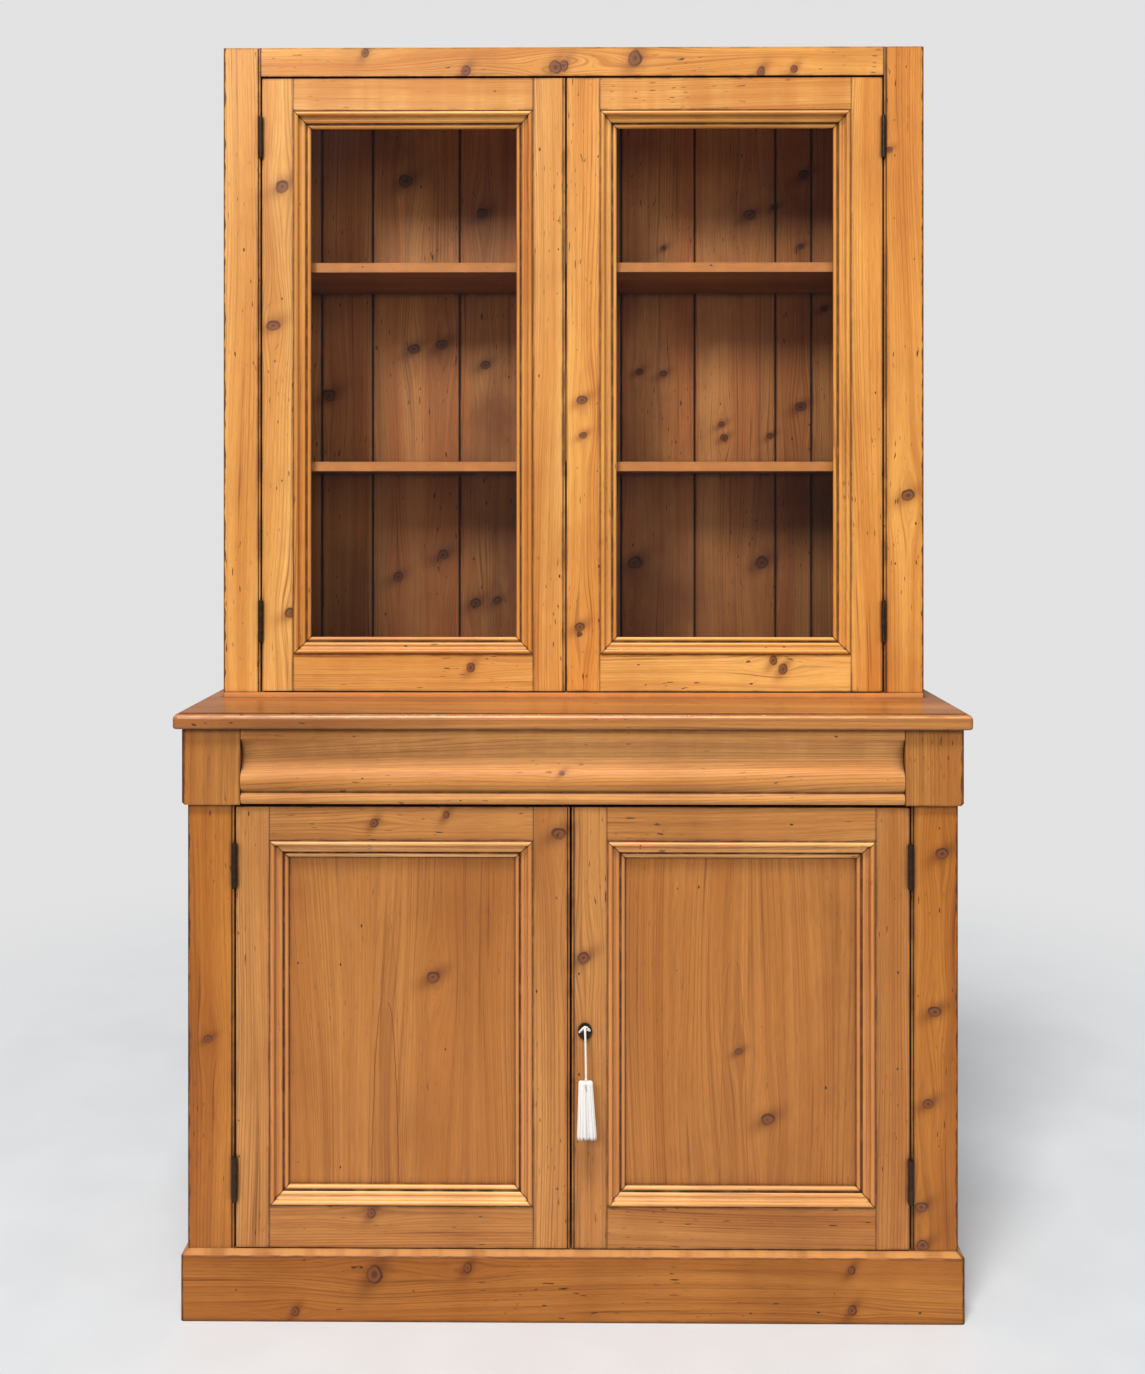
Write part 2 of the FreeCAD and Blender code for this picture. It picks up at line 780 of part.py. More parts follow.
def door_stops():
    """Two blocks under the drawer rail and two under the top board, just behind the doors."""
    stops = []
    for name, face, low, high in (
        ("lower", "door_back", "rail_bottom - stop_height", "rail_bottom"),
        ("upper", "upper_door_back", "upper_rail_bottom - stop_height", "top_board_bottom"),
    ):
        for side, ends in (
            ("left", ("-3 * stop_width", "-2 * stop_width")),
            ("right", ("2 * stop_width", "3 * stop_width")),
        ):
            deep = ("%s + stop_gap" % face, "%s + stop_gap + stop_depth" % face)
            stops.append(board("%s_%s_stop" % (name, side), ends, deep, (low, high)))
    node("door_stops", group("stop_group", stops))


# Doors


def moulding_corners():
    """The door moulding: in from the frame's edge, and deep from the door's face."""
    torus_end = "outer_quirk + torus_width"
    cove_end = "%s + cove_width" % torus_end
    reverse_end = "%s + reverse_width" % cove_end
    bead_start = "%s + inner_quirk" % reverse_end
    return [
        ("0", "moulding_depth"),
        ("0", "1"),
        ("outer_quirk", "1", "torus_rise + 1"),
        (torus_end, "1", "-cove_width / 4"),
        (cove_end, "1 + cove_drop", "reverse_width / 5"),
        (reverse_end, "1 + cove_drop + reverse_drop"),
        (reverse_end, "inner_quirk_depth"),
        (bead_start, "inner_quirk_depth", "inner_bead_rise"),
        ("moulding_width", "inner_quirk_depth"),
        ("moulding_width", "moulding_depth"),
    ]


def mitre(name, x, y, z, turn, deep, reach):
    """A block turned about a corner, to cut a 45 degree mitre."""
    block = doc.addObject("Part::Box", name)
    block.Placement = FreeCAD.Placement(FreeCAD.Vector(), FreeCAD.Rotation(FreeCAD.Vector(0, 1, 0), turn))
    for side, rule in (("Length", "2 * (%s)" % reach), ("Width", deep), ("Height", "2 * (%s)" % reach)):
        block.setExpression(side, formula(rule))
    return place(block, x, y, z)


def mitred_frame(name, corners, x, z, face, front, deep, width):
    """Four lengths of one section, mitred round an opening."""
    left, right = x
    low, high = z
    runs = {
        "left": ("XY_Plane", lambda u, d: ("%s + %s" % (left, u), "%s + %s" % (face, d)), 1),
        "right": ("XY_Plane", lambda u, d: ("%s - (%s)" % (right, u), "%s + %s" % (face, d)), -1),
        "bottom": ("YZ_Plane", lambda u, d: ("%s + %s" % (face, d), "%s + %s" % (low, u)), -1),
        "top": ("YZ_Plane", lambda u, d: ("%s + %s" % (face, d), "%s - (%s)" % (high, u)), 1),
    }
    # Each length loses what lies beyond its two mitres; a block's turn is about +Y.
    turns = {
        "left": ((left, low, 45), (left, high, -45 + 90)),
        "right": ((right, low, -135), (right, high, -135)),
        "bottom": ((left, low, -45), (right, low, -45)),
        "top": ((left, high, 135), (right, high, 135)),
    }
    lengths = []
    for side, (plane, spot, hand) in runs.items():
        span, base = (z, low) if plane == "XY_Plane" else (x, left)
        strip = prism(
            "%s_%s" % (name, side), plane, corners, "(%s) - (%s)" % (span[1], span[0]), base, spot, hand)
        blocks = [
            mitre("%s_%s_mitre_%d" % (name, side, number), across, front, up, turn, deep, width)
            for number, (across, up, turn) in enumerate(turns[side])
        ]
        lengths.append(cut("%s_%s_length" % (name, side), strip, blocks))
    return group(name + "_group", lengths)


DOORS = {
    "upper_left_door": {
        "hinge": "-upper_half + upper_left_stile",
        "meeting": "upper_meeting_offset - meeting_gap / 2",
        "side": 1,
        "stile": "upper_left_meeting_stile",
        "bead": True,
        "family": "upper",
    },
    "upper_right_door": {
        "hinge": "upper_half - upper_right_stile",
        "meeting": "upper_meeting_offset + meeting_gap / 2",
        "side": -1,
        "stile": "right_meeting_stile",
        "bead": False,
        "family": "upper",
    },
    "lower_left_door": {
        "hinge": "-opening_half",
        "meeting": "lower_meeting_offset - meeting_gap / 2",
        "side": 1,
        "stile": "left_meeting_stile",
        "bead": True,
        "family": "lower",
    },
    "lower_right_door": {
        "hinge": "opening_half",
        "meeting": "lower_meeting_offset + meeting_gap / 2",
        "side": -1,
        "stile": "right_meeting_stile",
        "bead": True,
        "family": "lower",
    },
}

FAMILIES = {
    "upper": {
        "face": "upper_face",
        "low": "strip_top + upper_door_rise",
        "high": "upper_rail_bottom - upper_door_drop",
        "groove": ("moulding_depth", "door_thickness"),
    },
    "lower": {
        "face": "face",
        "low": "plinth_height + lower_door_rise",
        "high": "rail_bottom - lower_door_drop",
        "groove": ("moulding_depth", "moulding_depth + panel_thickness"),
    },
}


def door(label, plan):
    """One framed door: stiles, tenoned rails, mitred moulding, and glass with beads or a panel."""
    family = FAMILIES[plan["family"]]
    face, low, high, side = family["face"], family["low"], family["high"], plan["side"]
    groove = family["groove"]
    edge = "(%s) + (%d) * hinge_gap" % (plan["hinge"], side)
    meeting = plan["meeting"]
    tall = (low, high)
    hinge_edge = "(%s) + (%d) * hinge_stile" % (edge, side)
    meeting_edge = "(%s) - (%d) * %s" % (meeting, side, plan["stile"])
    left, right = (hinge_edge, meeting_edge) if side > 0 else (meeting_edge, hinge_edge)
    top_rail = plan["family"] + "_door_top_rail"
    bottom_rail = plan["family"] + "_door_bottom_rail"
    inner_low = "%s + %s" % (low, bottom_rail)
    inner_high = "%s - (%s)" % (high, top_rail)

    # Rails with a tenon at each end
    groove_low, groove_high = groove
    rails, tenons = [], []
    for name, rail_low, rail_high, inward in (
        ("bottom", low, inner_low, 1),
        ("top", high, inner_high, -1),
    ):
        depth = bottom_rail if inward > 0 else top_rail
        corners = [("0", "0"), (depth, "0"), (depth, groove_low), ("%s - rebate_width" % depth, groove_low),
                   ("%s - rebate_width" % depth, groove_high)]
        if plan["family"] == "lower":
            corners += [(depth, groove_high), (depth, "door_thickness")]
        corners += [("0", "door_thickness")]

        def spot(up, deep, start=rail_low, inward=inward):
            return "(%s) + (%s)" % (face, deep), "(%s) + (%d) * (%s)" % (start, inward, up)

        rail = prism("%s_%s_rail" % (label, name), "YZ_Plane", corners, "(%s) - (%s)" % (right, left),
                     left, spot)
        tenon_low = "(%s) + (%d) * (%s - rebate_width) / 2 - tenon_height / 2" % (rail_low, inward, depth)
        pair = [
            board("%s_%s_%s_tenon" % (label, name, end), ends,
                  ("%s + 4" % face, "%s + 4 + tenon_thickness" % face),
                  (tenon_low, "%s + tenon_height" % tenon_low))
            for end, ends in (
                ("left", ("(%s) - tenon_length" % left, left)),
                ("right", (right, "(%s) + tenon_length" % right)),
            )
        ]
        tenons += pair
        rails.append(join("%s_%s_rail_tenoned" % (label, name), [rail] + pair))
    node(label + "_rails", group(label + "_rail_group", rails))

    # Stiles, mortised for the tenons
    hinge_corners = stile_corners("hinge_stile", "door_thickness", groove)
    hinge = upright(label + "_hinge_stile", edge, side, hinge_corners, face, tall)
    width = plan["stile"]
    shut = stile_corners(width, "door_thickness", groove)
    if plan["bead"]:
        shut = beaded_edge(width, groove)
    closing = upright(label + "_meeting_stile", meeting, -side, shut, face, tall)
    pair = group(label + "_stile_pair", [hinge, closing])
    tools = list(tenons)
    if label == "lower_right_door":
        tools += keyway("door", "face - 1", "door_thickness + 2")
    node(label + "_stiles", cut(label + "_stile_cut", pair, tools))

    # Moulding and what it holds
    opening_x, opening_z = (left, right), (inner_low, inner_high)
    front = "%s - torus_rise - 2" % face
    moulding = mitred_frame(
        label + "_moulding", moulding_corners(), opening_x, opening_z, face, front,
        "moulding_depth + torus_rise + 4", "moulding_width")
    node(label + "_moulding", moulding)
    reach = "rebate_width - panel_clearance"
    sheet_x = ("%s - (%s)" % (left, reach), "%s + %s" % (right, reach))
    sheet_z = ("%s - (%s)" % (inner_low, reach), "%s + %s" % (inner_high, reach))
    behind = "%s + moulding_depth" % face
    if plan["family"] == "upper":
        glass = board(label + "_pane", sheet_x, (behind, "%s + glass_thickness" % behind), sheet_z)
        node(label + "_glass", glass)
        bead = [("0", "0"), ("rebate_width + 2", "0"), ("rebate_width + 2", "2"),
                ("0", "door_thickness - moulding_depth - glass_thickness")]
        beads = mitred_frame(
            label + "_bead", bead,
            ("%s - rebate_width" % left, "%s + rebate_width" % right),
            ("%s - rebate_width" % inner_low, "%s + rebate_width" % inner_high),
            "%s + glass_thickness" % behind, "%s + glass_thickness - 1" % behind,
            "door_thickness", "rebate_width + 2")
        node(label + "_glazing_beads", beads)
    else:
        panel = board(label + "_panel_board", sheet_x, (behind, "%s + panel_thickness" % behind), sheet_z)
        node(label + "_panel", panel)
    hinges(label, plan, family)


def beaded_edge(width, groove):
    """A meeting stile in plan, drawn from its meeting edge, with a quirk bead along that edge."""
    corners = [
        ("0", "door_thickness"),
        ("0", "bead_width / 2", "bead_width / 2 * 0.999"),
        ("bead_width", "bead_width / 2"),
        ("bead_width", "quirk_depth"),
        ("bead_width + quirk_width", "quirk_depth"),
        ("bead_width + quirk_width", "0"),
        (width, "0"),
        (width, groove[0]),
        ("%s - rebate_width" % width, groove[0]),
        ("%s - rebate_width" % width, groove[1]),
    ]
    if groove[1] != "door_thickness":
        corners += [(width, groove[1]), (width, "door_thickness")]
    return corners


# Hinges

FRAME_HINGES = {"leaves": [], "pins": []}


def hinges(label, plan, family):
    """Two butt hinges: leaves in the gap, five knuckles in front of it and a pin through them."""
    name, side, face = plan["family"], plan["side"], family["face"]
    radius = name + "_knuckle_radius"
    axis_x = "(%s) + (%d) * hinge_gap / 2" % (plan["hinge"], side)
    axis_y = "%s - %s - hinge_clearance" % (face, radius)
    knuckle = "(hinge_height / 5)"
    leaves = []
    for number, middle in enumerate((
        "%s + %s_hinge_from_bottom" % (family["low"], name),
        "%s - %s_hinge_from_top" % (family["high"], name),
    )):
        foot = "%s - hinge_height / 2" % middle
        for kind, way, own in (("frame", -side, (0, 2, 4)), ("door", side, (1, 3))):
            stem = "%s_%s_leaf_%d" % (label, kind, number)
            near = "(%s) + (%d) * (hinge_gap / 2 - hinge_leaf_thickness)" % (axis_x, way)
            far = "(%s) + (%d) * hinge_gap / 2" % (axis_x, way)
            across = (near, far) if way > 0 else (far, near)
            plate = board(
                stem, across, (face, "%s + hinge_leaf_width" % face), (foot, "%s + hinge_height" % foot))
            pieces = [plate]
            for place_number in own:
                start = "%s + %d * %s + hinge_clearance / 2" % (foot, place_number, knuckle)
                tall = "%s - hinge_clearance" % knuckle
                pieces.append(rod("%s_knuckle_%d" % (stem, place_number), radius, tall, axis_x, axis_y, start))
                pieces.append(board(
                    "%s_web_%d" % (stem, place_number), across, (axis_y, face),
                    (start, "%s + %s" % (start, tall))))
            bore = rod(stem + "_bore", "pin_radius + pin_clearance", "hinge_height + 2", axis_x, axis_y,
                       "%s - 1" % foot)
            leaf = cut(stem + "_bored", join(stem + "_joined", pieces), [bore])
            screws = [leaf_screw(stem, count, near, way, face, foot) for count in range(3)]
            holes = [leaf_screw(stem + "_hole", count, near, way, face, foot) for count in range(3)]
            finished = [cut(stem + "_drilled", leaf, holes)] + screws
            (FRAME_HINGES["leaves"] if kind == "frame" else leaves).extend(finished)
        shaft = rod("%s_pin_%d" % (label, number), "pin_radius", "hinge_height", axis_x, axis_y, foot)
        caps = [
            rod("%s_pin_%d_%s" % (label, number, end), "%s * 0.8" % radius, "pin_head_height", axis_x, axis_y,
                level)
            for end, level in (("foot", "%s - pin_head_height" % foot), ("head", "%s + hinge_height" % foot))
        ]
        FRAME_HINGES["pins"].append(join("%s_pin_%d_whole" % (label, number), [shaft] + caps))
    node(label + "_hinge_leaves", group(label + "_leaf_group", leaves))


def leaf_screw(stem, count, near, way, face, foot):
    """A countersunk screw through a leaf into the wood."""
    head = doc.addObject("Part::Cone", "%s_screw_head_%d" % (stem, count))
    turn = FreeCAD.Rotation(FreeCAD.Vector(0, 1, 0), 90 * way)
    head.Placement = FreeCAD.Placement(FreeCAD.Vector(), turn)
    head.setExpression("Radius1", formula("screw_head_radius"))
    head.setExpression("Radius2", formula("screw_radius"))
    head.setExpression("Height", formula("hinge_leaf_thickness"))
    across_y = "%s + hinge_leaf_width * %s" % (face, 0.42 if count == 1 else 0.66)
    up = "%s + hinge_height * (%d + 0.5) / 3" % (foot, count)
    place(head, near, across_y, up)
    shank = doc.addObject("Part::Cylinder", "%s_screw_shank_%d" % (stem, count))
    shank.Placement = FreeCAD.Placement(FreeCAD.Vector(), turn)
    shank.setExpression("Radius", formula("screw_radius"))
    shank.setExpression("Height", formula("screw_length"))
    place(shank, near, across_y, up)
    return join("%s_screw_%d" % (stem, count), [head, shank])


# Lock, key and tassel

PLACES.update({
    "key_x": "lower_meeting_offset + meeting_gap / 2 + key_from_edge",
    "bow_back": "face - key_projection + key_bow_length",
    "lock_left": "lower_meeting_offset + meeting_gap / 2 + lock_inset",
    "lock_bottom": "key_height - key_bit_radius - 3 * lock_wall",
    "lock_back": "door_back + lock_depth",
    "bolt_bottom": "key_height + key_bit_radius - bolt_notch_depth + 2 * bolt_clearance",
})


def keyway(name, y, length):
    """The tools that cut a round hole with a slot below it."""
    hole = rod(name + "_keyhole", "keyhole_radius", length, "key_x", y, "key_height", "y")
    slot = board(
        name + "_keyslot",
        ("key_x - keyhole_slot / 2", "key_x + keyhole_slot / 2"),
        (y, "%s + %s" % (y, length)),
        ("key_height - key_bit_radius - 0.6", "key_height"),
    )
    return [join(name + "_keyway", [hole, slot])]


def ellipse_plate(name, wide, tall, y, thick):
    """An oval plate that stands upright, with its back on the plane y."""
    oval = doc.addObject("Part::Ellipse", name + "_oval")
    oval.Placement = FreeCAD.Placement(
        FreeCAD.Vector(), FreeCAD.Rotation(FreeCAD.Matrix(0, 1, 0, 0, 0, 0, 1, 0, 1, 0, 0, 0, 0, 0, 0, 1)))
    oval.setExpression("MajorRadius", formula("(%s) / 2" % tall))
    oval.setExpression("MinorRadius", formula("(%s) / 2" % wide))
    place(oval, "key_x", y, "key_height")
    plate = doc.addObject("Part::Extrusion", name)
    plate.Base = oval
    plate.DirMode = "Custom"
    plate.Dir = FreeCAD.Vector(0, 1, 0)
    plate.setExpression("LengthFwd", formula(thick))
    plate.Solid = True
    return plate


def lock():
    """A hollow lock case behind the door, its sliding bolt, the escutcheon, and the key."""
    plate = ellipse_plate(
        "escutcheon_plate", "escutcheon_width", "escutcheon_height", "face - escutcheon_thickness",
        "escutcheon_thickness")
    holes = keyway("escutcheon", "face - escutcheon_thickness - 1", "escutcheon_thickness + 2")
    node("escutcheon", cut("escutcheon_cut", plate, holes))

    box = board("lock_box", ("lock_left", "lock_left + lock_width"), ("door_back", "lock_back"),
                ("lock_bottom", "lock_bottom + lock_height"))
    room = board(
        "lock_room", ("lock_left + lock_wall", "lock_left + lock_width - lock_wall"),
        ("door_back + lock_wall", "lock_back - lock_wall"),
        ("lock_bottom + lock_wall", "lock_bottom + lock_height - lock_wall"))
    mouth = board(
        "lock_mouth", ("lock_left - 1", "lock_left + lock_wall + 1"),
        ("door_back + lock_wall", "lock_back - lock_wall"),
        ("bolt_bottom - bolt_clearance", "bolt_bottom + bolt_height + bolt_clearance"))
    entry = keyway("lock_entry", "door_back - 1", "lock_wall + 2")
    node("lock_case", cut("lock_case_cut", box, [room, mouth] + entry))

    bolt_y = ("door_back + (lock_depth - bolt_thickness) / 2", "door_back + (lock_depth + bolt_thickness) / 2")
    bar = board("bolt_bar", ("lock_left", "lock_left + bolt_length"), bolt_y,
                ("bolt_bottom", "bolt_bottom + bolt_height"))
    notch = board(
        "bolt_notch", ("key_x + bolt_notch_start", "key_x + bolt_notch_end"),
        ("door_back", "lock_back"), ("bolt_bottom - 1", "bolt_bottom + bolt_notch_depth"))
    node("lock_bolt", cut("lock_bolt_cut", bar, [notch]))

    bow = [ellipse_bow()]
    shank = rod("key_shank", "key_shank_radius", "door_back + lock_depth - lock_wall * 1.5 - (bow_back - 1)",
                "key_x", "bow_back - 1", "key_height", "y")
    collar = rod("key_collar", "key_shank_radius * 1.5", "2", "key_x", "bow_back - 0.5", "key_height", "y")
    bit = board(
        "key_bit", ("key_x - key_bit_thickness / 2", "key_x + key_bit_thickness / 2"),
        ("door_back + (lock_depth - key_bit_length) / 2", "door_back + (lock_depth + key_bit_length) / 2"),
        ("key_height - key_bit_radius", "key_height"))
    node("key", join("key_whole", bow + [shank, collar, bit]))


def ellipse_bow():
    """The key's bow: an oval ring that stands upright and is seen edge on from the front."""
    body = doc.addObject("PartDesign::Body", "key_bow_body")
    sketch = body.newObject("Sketcher::SketchObject", "key_bow_outline")
    flat = [feature for feature in body.Origin.OriginFeatures if feature.Role == "YZ_Plane"][0]
    sketch.AttachmentSupport = [(flat, "")]
    sketch.MapMode = "FlatFace"
    centre = FreeCAD.Vector(value("bow_back - key_bow_length / 2"), value("key_height"), 0)
    for inset in (0, value("key_bow_ring")):
        tall = value("key_bow_height") / 2 - inset
        long = value("key_bow_length") / 2 - inset
        top = centre + FreeCAD.Vector(0, tall, 0)
        side = centre + FreeCAD.Vector(long, 0, 0)
        sketch.addGeometry(Part.Ellipse(top, side, centre), False)
    pad = body.newObject("PartDesign::Pad", "key_bow_pad")
    pad.Profile = sketch
    pad.setExpression("Length", formula("key_bow_thickness"))
    body.setExpression("Placement.Base.x", formula("key_x - key_bow_thickness / 2"))
    return body


# The cord is hitched over the top of the bow and hangs down in front of it. Its route is chosen by hand. The first
# points are shares of the bow's half length and half height, seen from the bow's middle, with room for the cord.
CORD_OVER_BOW = [(0, 0.3, 0.97), (0.1, 0.825, 0.78), (0.3, 1.045, 0.28)]
CORD_ROUTE = [(0.6, -12.4, -8), (1.0, -12.6, -30), (1.6, -12.8, -66)]


def cord_solid(points, radius):
    """A tube of straight runs joined by tangent arcs, each as large as its two runs allow."""
    edges, radii = [], []
    start = points[0]
    for before, corner, after in zip(points, points[1:], points[2:]):
        back, ahead = (before - corner).normalize(), (after - corner).normalize()
        turn = math.pi - back.getAngle(ahead)
        setback = 0.45 * min((before - corner).Length, (after - corner).Length)
        bend = setback / math.tan(turn / 2)
        enter, leave = corner + back * setback, corner + ahead * setback
        towards = (back + ahead).normalize()
        middle = corner + towards * (math.hypot(setback, bend) - bend)
        edges += [Part.LineSegment(start, enter).toShape(), Part.Arc(enter, middle, leave).toShape()]
        radii.append(bend)
        start = leave
    edges.append(Part.LineSegment(start, points[-1]).toShape())
    wire = Part.Wire(edges)
    section = Part.Wire([Part.Circle(points[0], points[1] - points[0], radius).toShape()])
    tube = wire.makePipeShell([section], True, False)
    print("cord radii:", [round(bend, 1) for bend in radii])
    print("cord length %.1f, volume over section times length %.4f" % (
        wire.Length, tube.Volume / (math.pi * radius ** 2 * wire.Length)))
    return tube


def tassel():
    """The white cord that hangs from the bow, and the tassel on its end."""
    radius = value("cord_radius")
    middle = FreeCAD.Vector(value("key_x"), value("bow_back - key_bow_length / 2"), value("key_height"))
    forward = value("key_bow_length / 2 + cord_radius + cord_front_gap")
    up = value("key_bow_height / 2 + cord_radius + cord_front_gap")
    points = [middle + FreeCAD.Vector(x, -y * forward, z * up) for x, y, z in CORD_OVER_BOW]
    fall = value("cord_drop") / -CORD_ROUTE[-1][2]
    reach = forward / 11.4
    points += [middle + FreeCAD.Vector(x, y * reach, z * fall) for x, y, z in CORD_ROUTE]
    cord = doc.addObject("Part::Feature", "cord_tube")
    cord.Shape = cord_solid(points, radius)
    node("tassel_cord", cord)
    end = points[-1]
    body = doc.addObject("PartDesign::Body", "tassel_body")
    corners = [
        ("0", "-tassel_height"),
        ("tassel_bottom_radius", "-tassel_height"),
        ("tassel_top_radius", "-tassel_shoulder", "tassel_shoulder * %s" % QUARTER),
        ("tassel_top_radius - tassel_shoulder", "0"),
        ("0", "0"),
    ]
    sketch = outline(body, "XZ_Plane", corners)
    turned = body.newObject("PartDesign::Revolution", "tassel_turned")
    turned.Profile = sketch
    turned.ReferenceAxis = (sketch, ["V_Axis"])
    turned.Angle = 360
    body.Placement = FreeCAD.Placement(end, FreeCAD.Rotation())
    node("tassel", body)


def slide_bolt():
    """A bolt inside the left lower door that slides up into the drawer rail."""
    top = "rail_bottom - slide_bolt_below_rail"
    shaft = rod("bolt_shaft", "slide_bolt_radius", "slide_bolt_length", "slide_bolt_x", "slide_bolt_y",
                "%s - slide_bolt_length" % top)
    knob = rod("bolt_knob", "bolt_knob_radius", "bolt_knob_length + slide_bolt_radius", "slide_bolt_x",
               "slide_bolt_y", "%s - slide_bolt_length / 2" % top, "y")
    node("door_bolt", join("door_bolt_whole", [shaft, knob]))
    middle = "(%s - slide_bolt_length / 2)" % top
    plate = board(
        "bolt_plate", ("slide_bolt_x - bolt_plate_width / 2", "slide_bolt_x + bolt_plate_width / 2"),
        ("door_back", "door_back + bolt_plate_thickness"),
        ("%s - bolt_plate_height / 2" % middle, "%s + bolt_plate_height / 2" % middle))
    staples = [
        board(
            "staple_%d" % number, ("slide_bolt_x - staple_width / 2", "slide_bolt_x + staple_width / 2"),
            ("door_back + bolt_plate_thickness", "door_back + bolt_plate_thickness + staple_depth"),
            (level, "%s + staple_thickness" % level))
        for number, level in enumerate((
            "%s - bolt_plate_height / 2 + 2" % middle,
            "%s + bolt_plate_height / 2 - 2 - staple_thickness" % middle,
        ))
    ]
    bore = rod("staple_bore", "slide_bolt_radius + slide_bolt_clearance", "bolt_plate_height + 4",
               "slide_bolt_x", "slide_bolt_y", "%s - bolt_plate_height / 2 - 2" % middle)
    node("door_bolt_plate", cut("bolt_plate_bored", join("bolt_plate_joined", [plate] + staples), [bore]))


def fill_sheet():
    """Write the driving sizes to the sheet."""
    for row, (alias, size) in enumerate(SIZES.items(), start=1):
        sheet.set("A%d" % row, alias)
        sheet.set("B%d" % row, str(size))
        sheet.setAlias("B%d" % row, alias)
    doc.recompute()


def write_parts():
    """Check every object and write each sub-part to its own file."""
    doc.recompute()
    faults = [thing.Label for thing in doc.Objects if {"Invalid", "Error"} & set(thing.State)]
    for label, piece in NODES.items():
        if piece.Label != label or piece.Shape.isNull() or not piece.Shape.isValid():
            faults.append(label)
        if not piece.Shape.Solids:
            faults.append(label + " has no solid")
    if faults:
        raise RuntimeError("faulty objects: %s" % sorted(set(faults)))
    os.makedirs("parts", exist_ok=True)
    for label, piece in NODES.items():
        piece.Shape.exportStep("parts/%s.step" % label)
    print("wrote %d parts with %d solids" % (
        len(NODES), sum(len(piece.Shape.Solids) for piece in NODES.values())))


def build():
    """Make the whole dresser."""
    fill_sheet()
    plinth()
    lower_carcass()
    drawer_carriage()
    worktop()
    drawer()
    upper_carcass()
    upper_back()
    door_stops()
    for label, plan in DOORS.items():
        door(label, plan)
    lock()
    tassel()
    slide_bolt()
    node("frame_hinge_leaves", group("frame_leaf_group", FRAME_HINGES["leaves"]))
    node("hinge_pins", group("hinge_pin_group", FRAME_HINGES["pins"]))
    write_parts()


build()
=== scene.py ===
"""Glazed pine dresser: its finishes, the tassel on its key, light and ground."""
import math

import bpy
import numpy as np
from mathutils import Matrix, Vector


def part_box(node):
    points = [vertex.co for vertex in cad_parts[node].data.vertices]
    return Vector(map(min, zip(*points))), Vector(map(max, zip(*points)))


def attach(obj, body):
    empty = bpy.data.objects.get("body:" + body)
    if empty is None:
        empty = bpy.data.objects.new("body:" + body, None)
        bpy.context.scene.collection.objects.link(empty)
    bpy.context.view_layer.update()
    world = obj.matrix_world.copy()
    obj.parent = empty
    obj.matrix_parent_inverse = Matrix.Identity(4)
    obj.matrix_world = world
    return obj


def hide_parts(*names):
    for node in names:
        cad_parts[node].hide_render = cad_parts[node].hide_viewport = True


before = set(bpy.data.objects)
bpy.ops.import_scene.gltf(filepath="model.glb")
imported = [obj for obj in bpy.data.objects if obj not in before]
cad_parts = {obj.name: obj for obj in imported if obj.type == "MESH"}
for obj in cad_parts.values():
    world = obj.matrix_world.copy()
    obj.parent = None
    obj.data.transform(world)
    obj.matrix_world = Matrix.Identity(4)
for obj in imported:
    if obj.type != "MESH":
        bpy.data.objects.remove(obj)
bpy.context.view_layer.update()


def tone(red, green, blue):
    """A colour given in 0 to 255 as the eye sees it, turned to linear light: ((c + 0.055) / 1.055) ** 2.4."""
    return tuple(
        c / 12.92 if c <= 0.04045 else ((c + 0.055) / 1.055) ** 2.4
        for c in (red / 255, green / 255, blue / 255)
    ) + (1.0,)


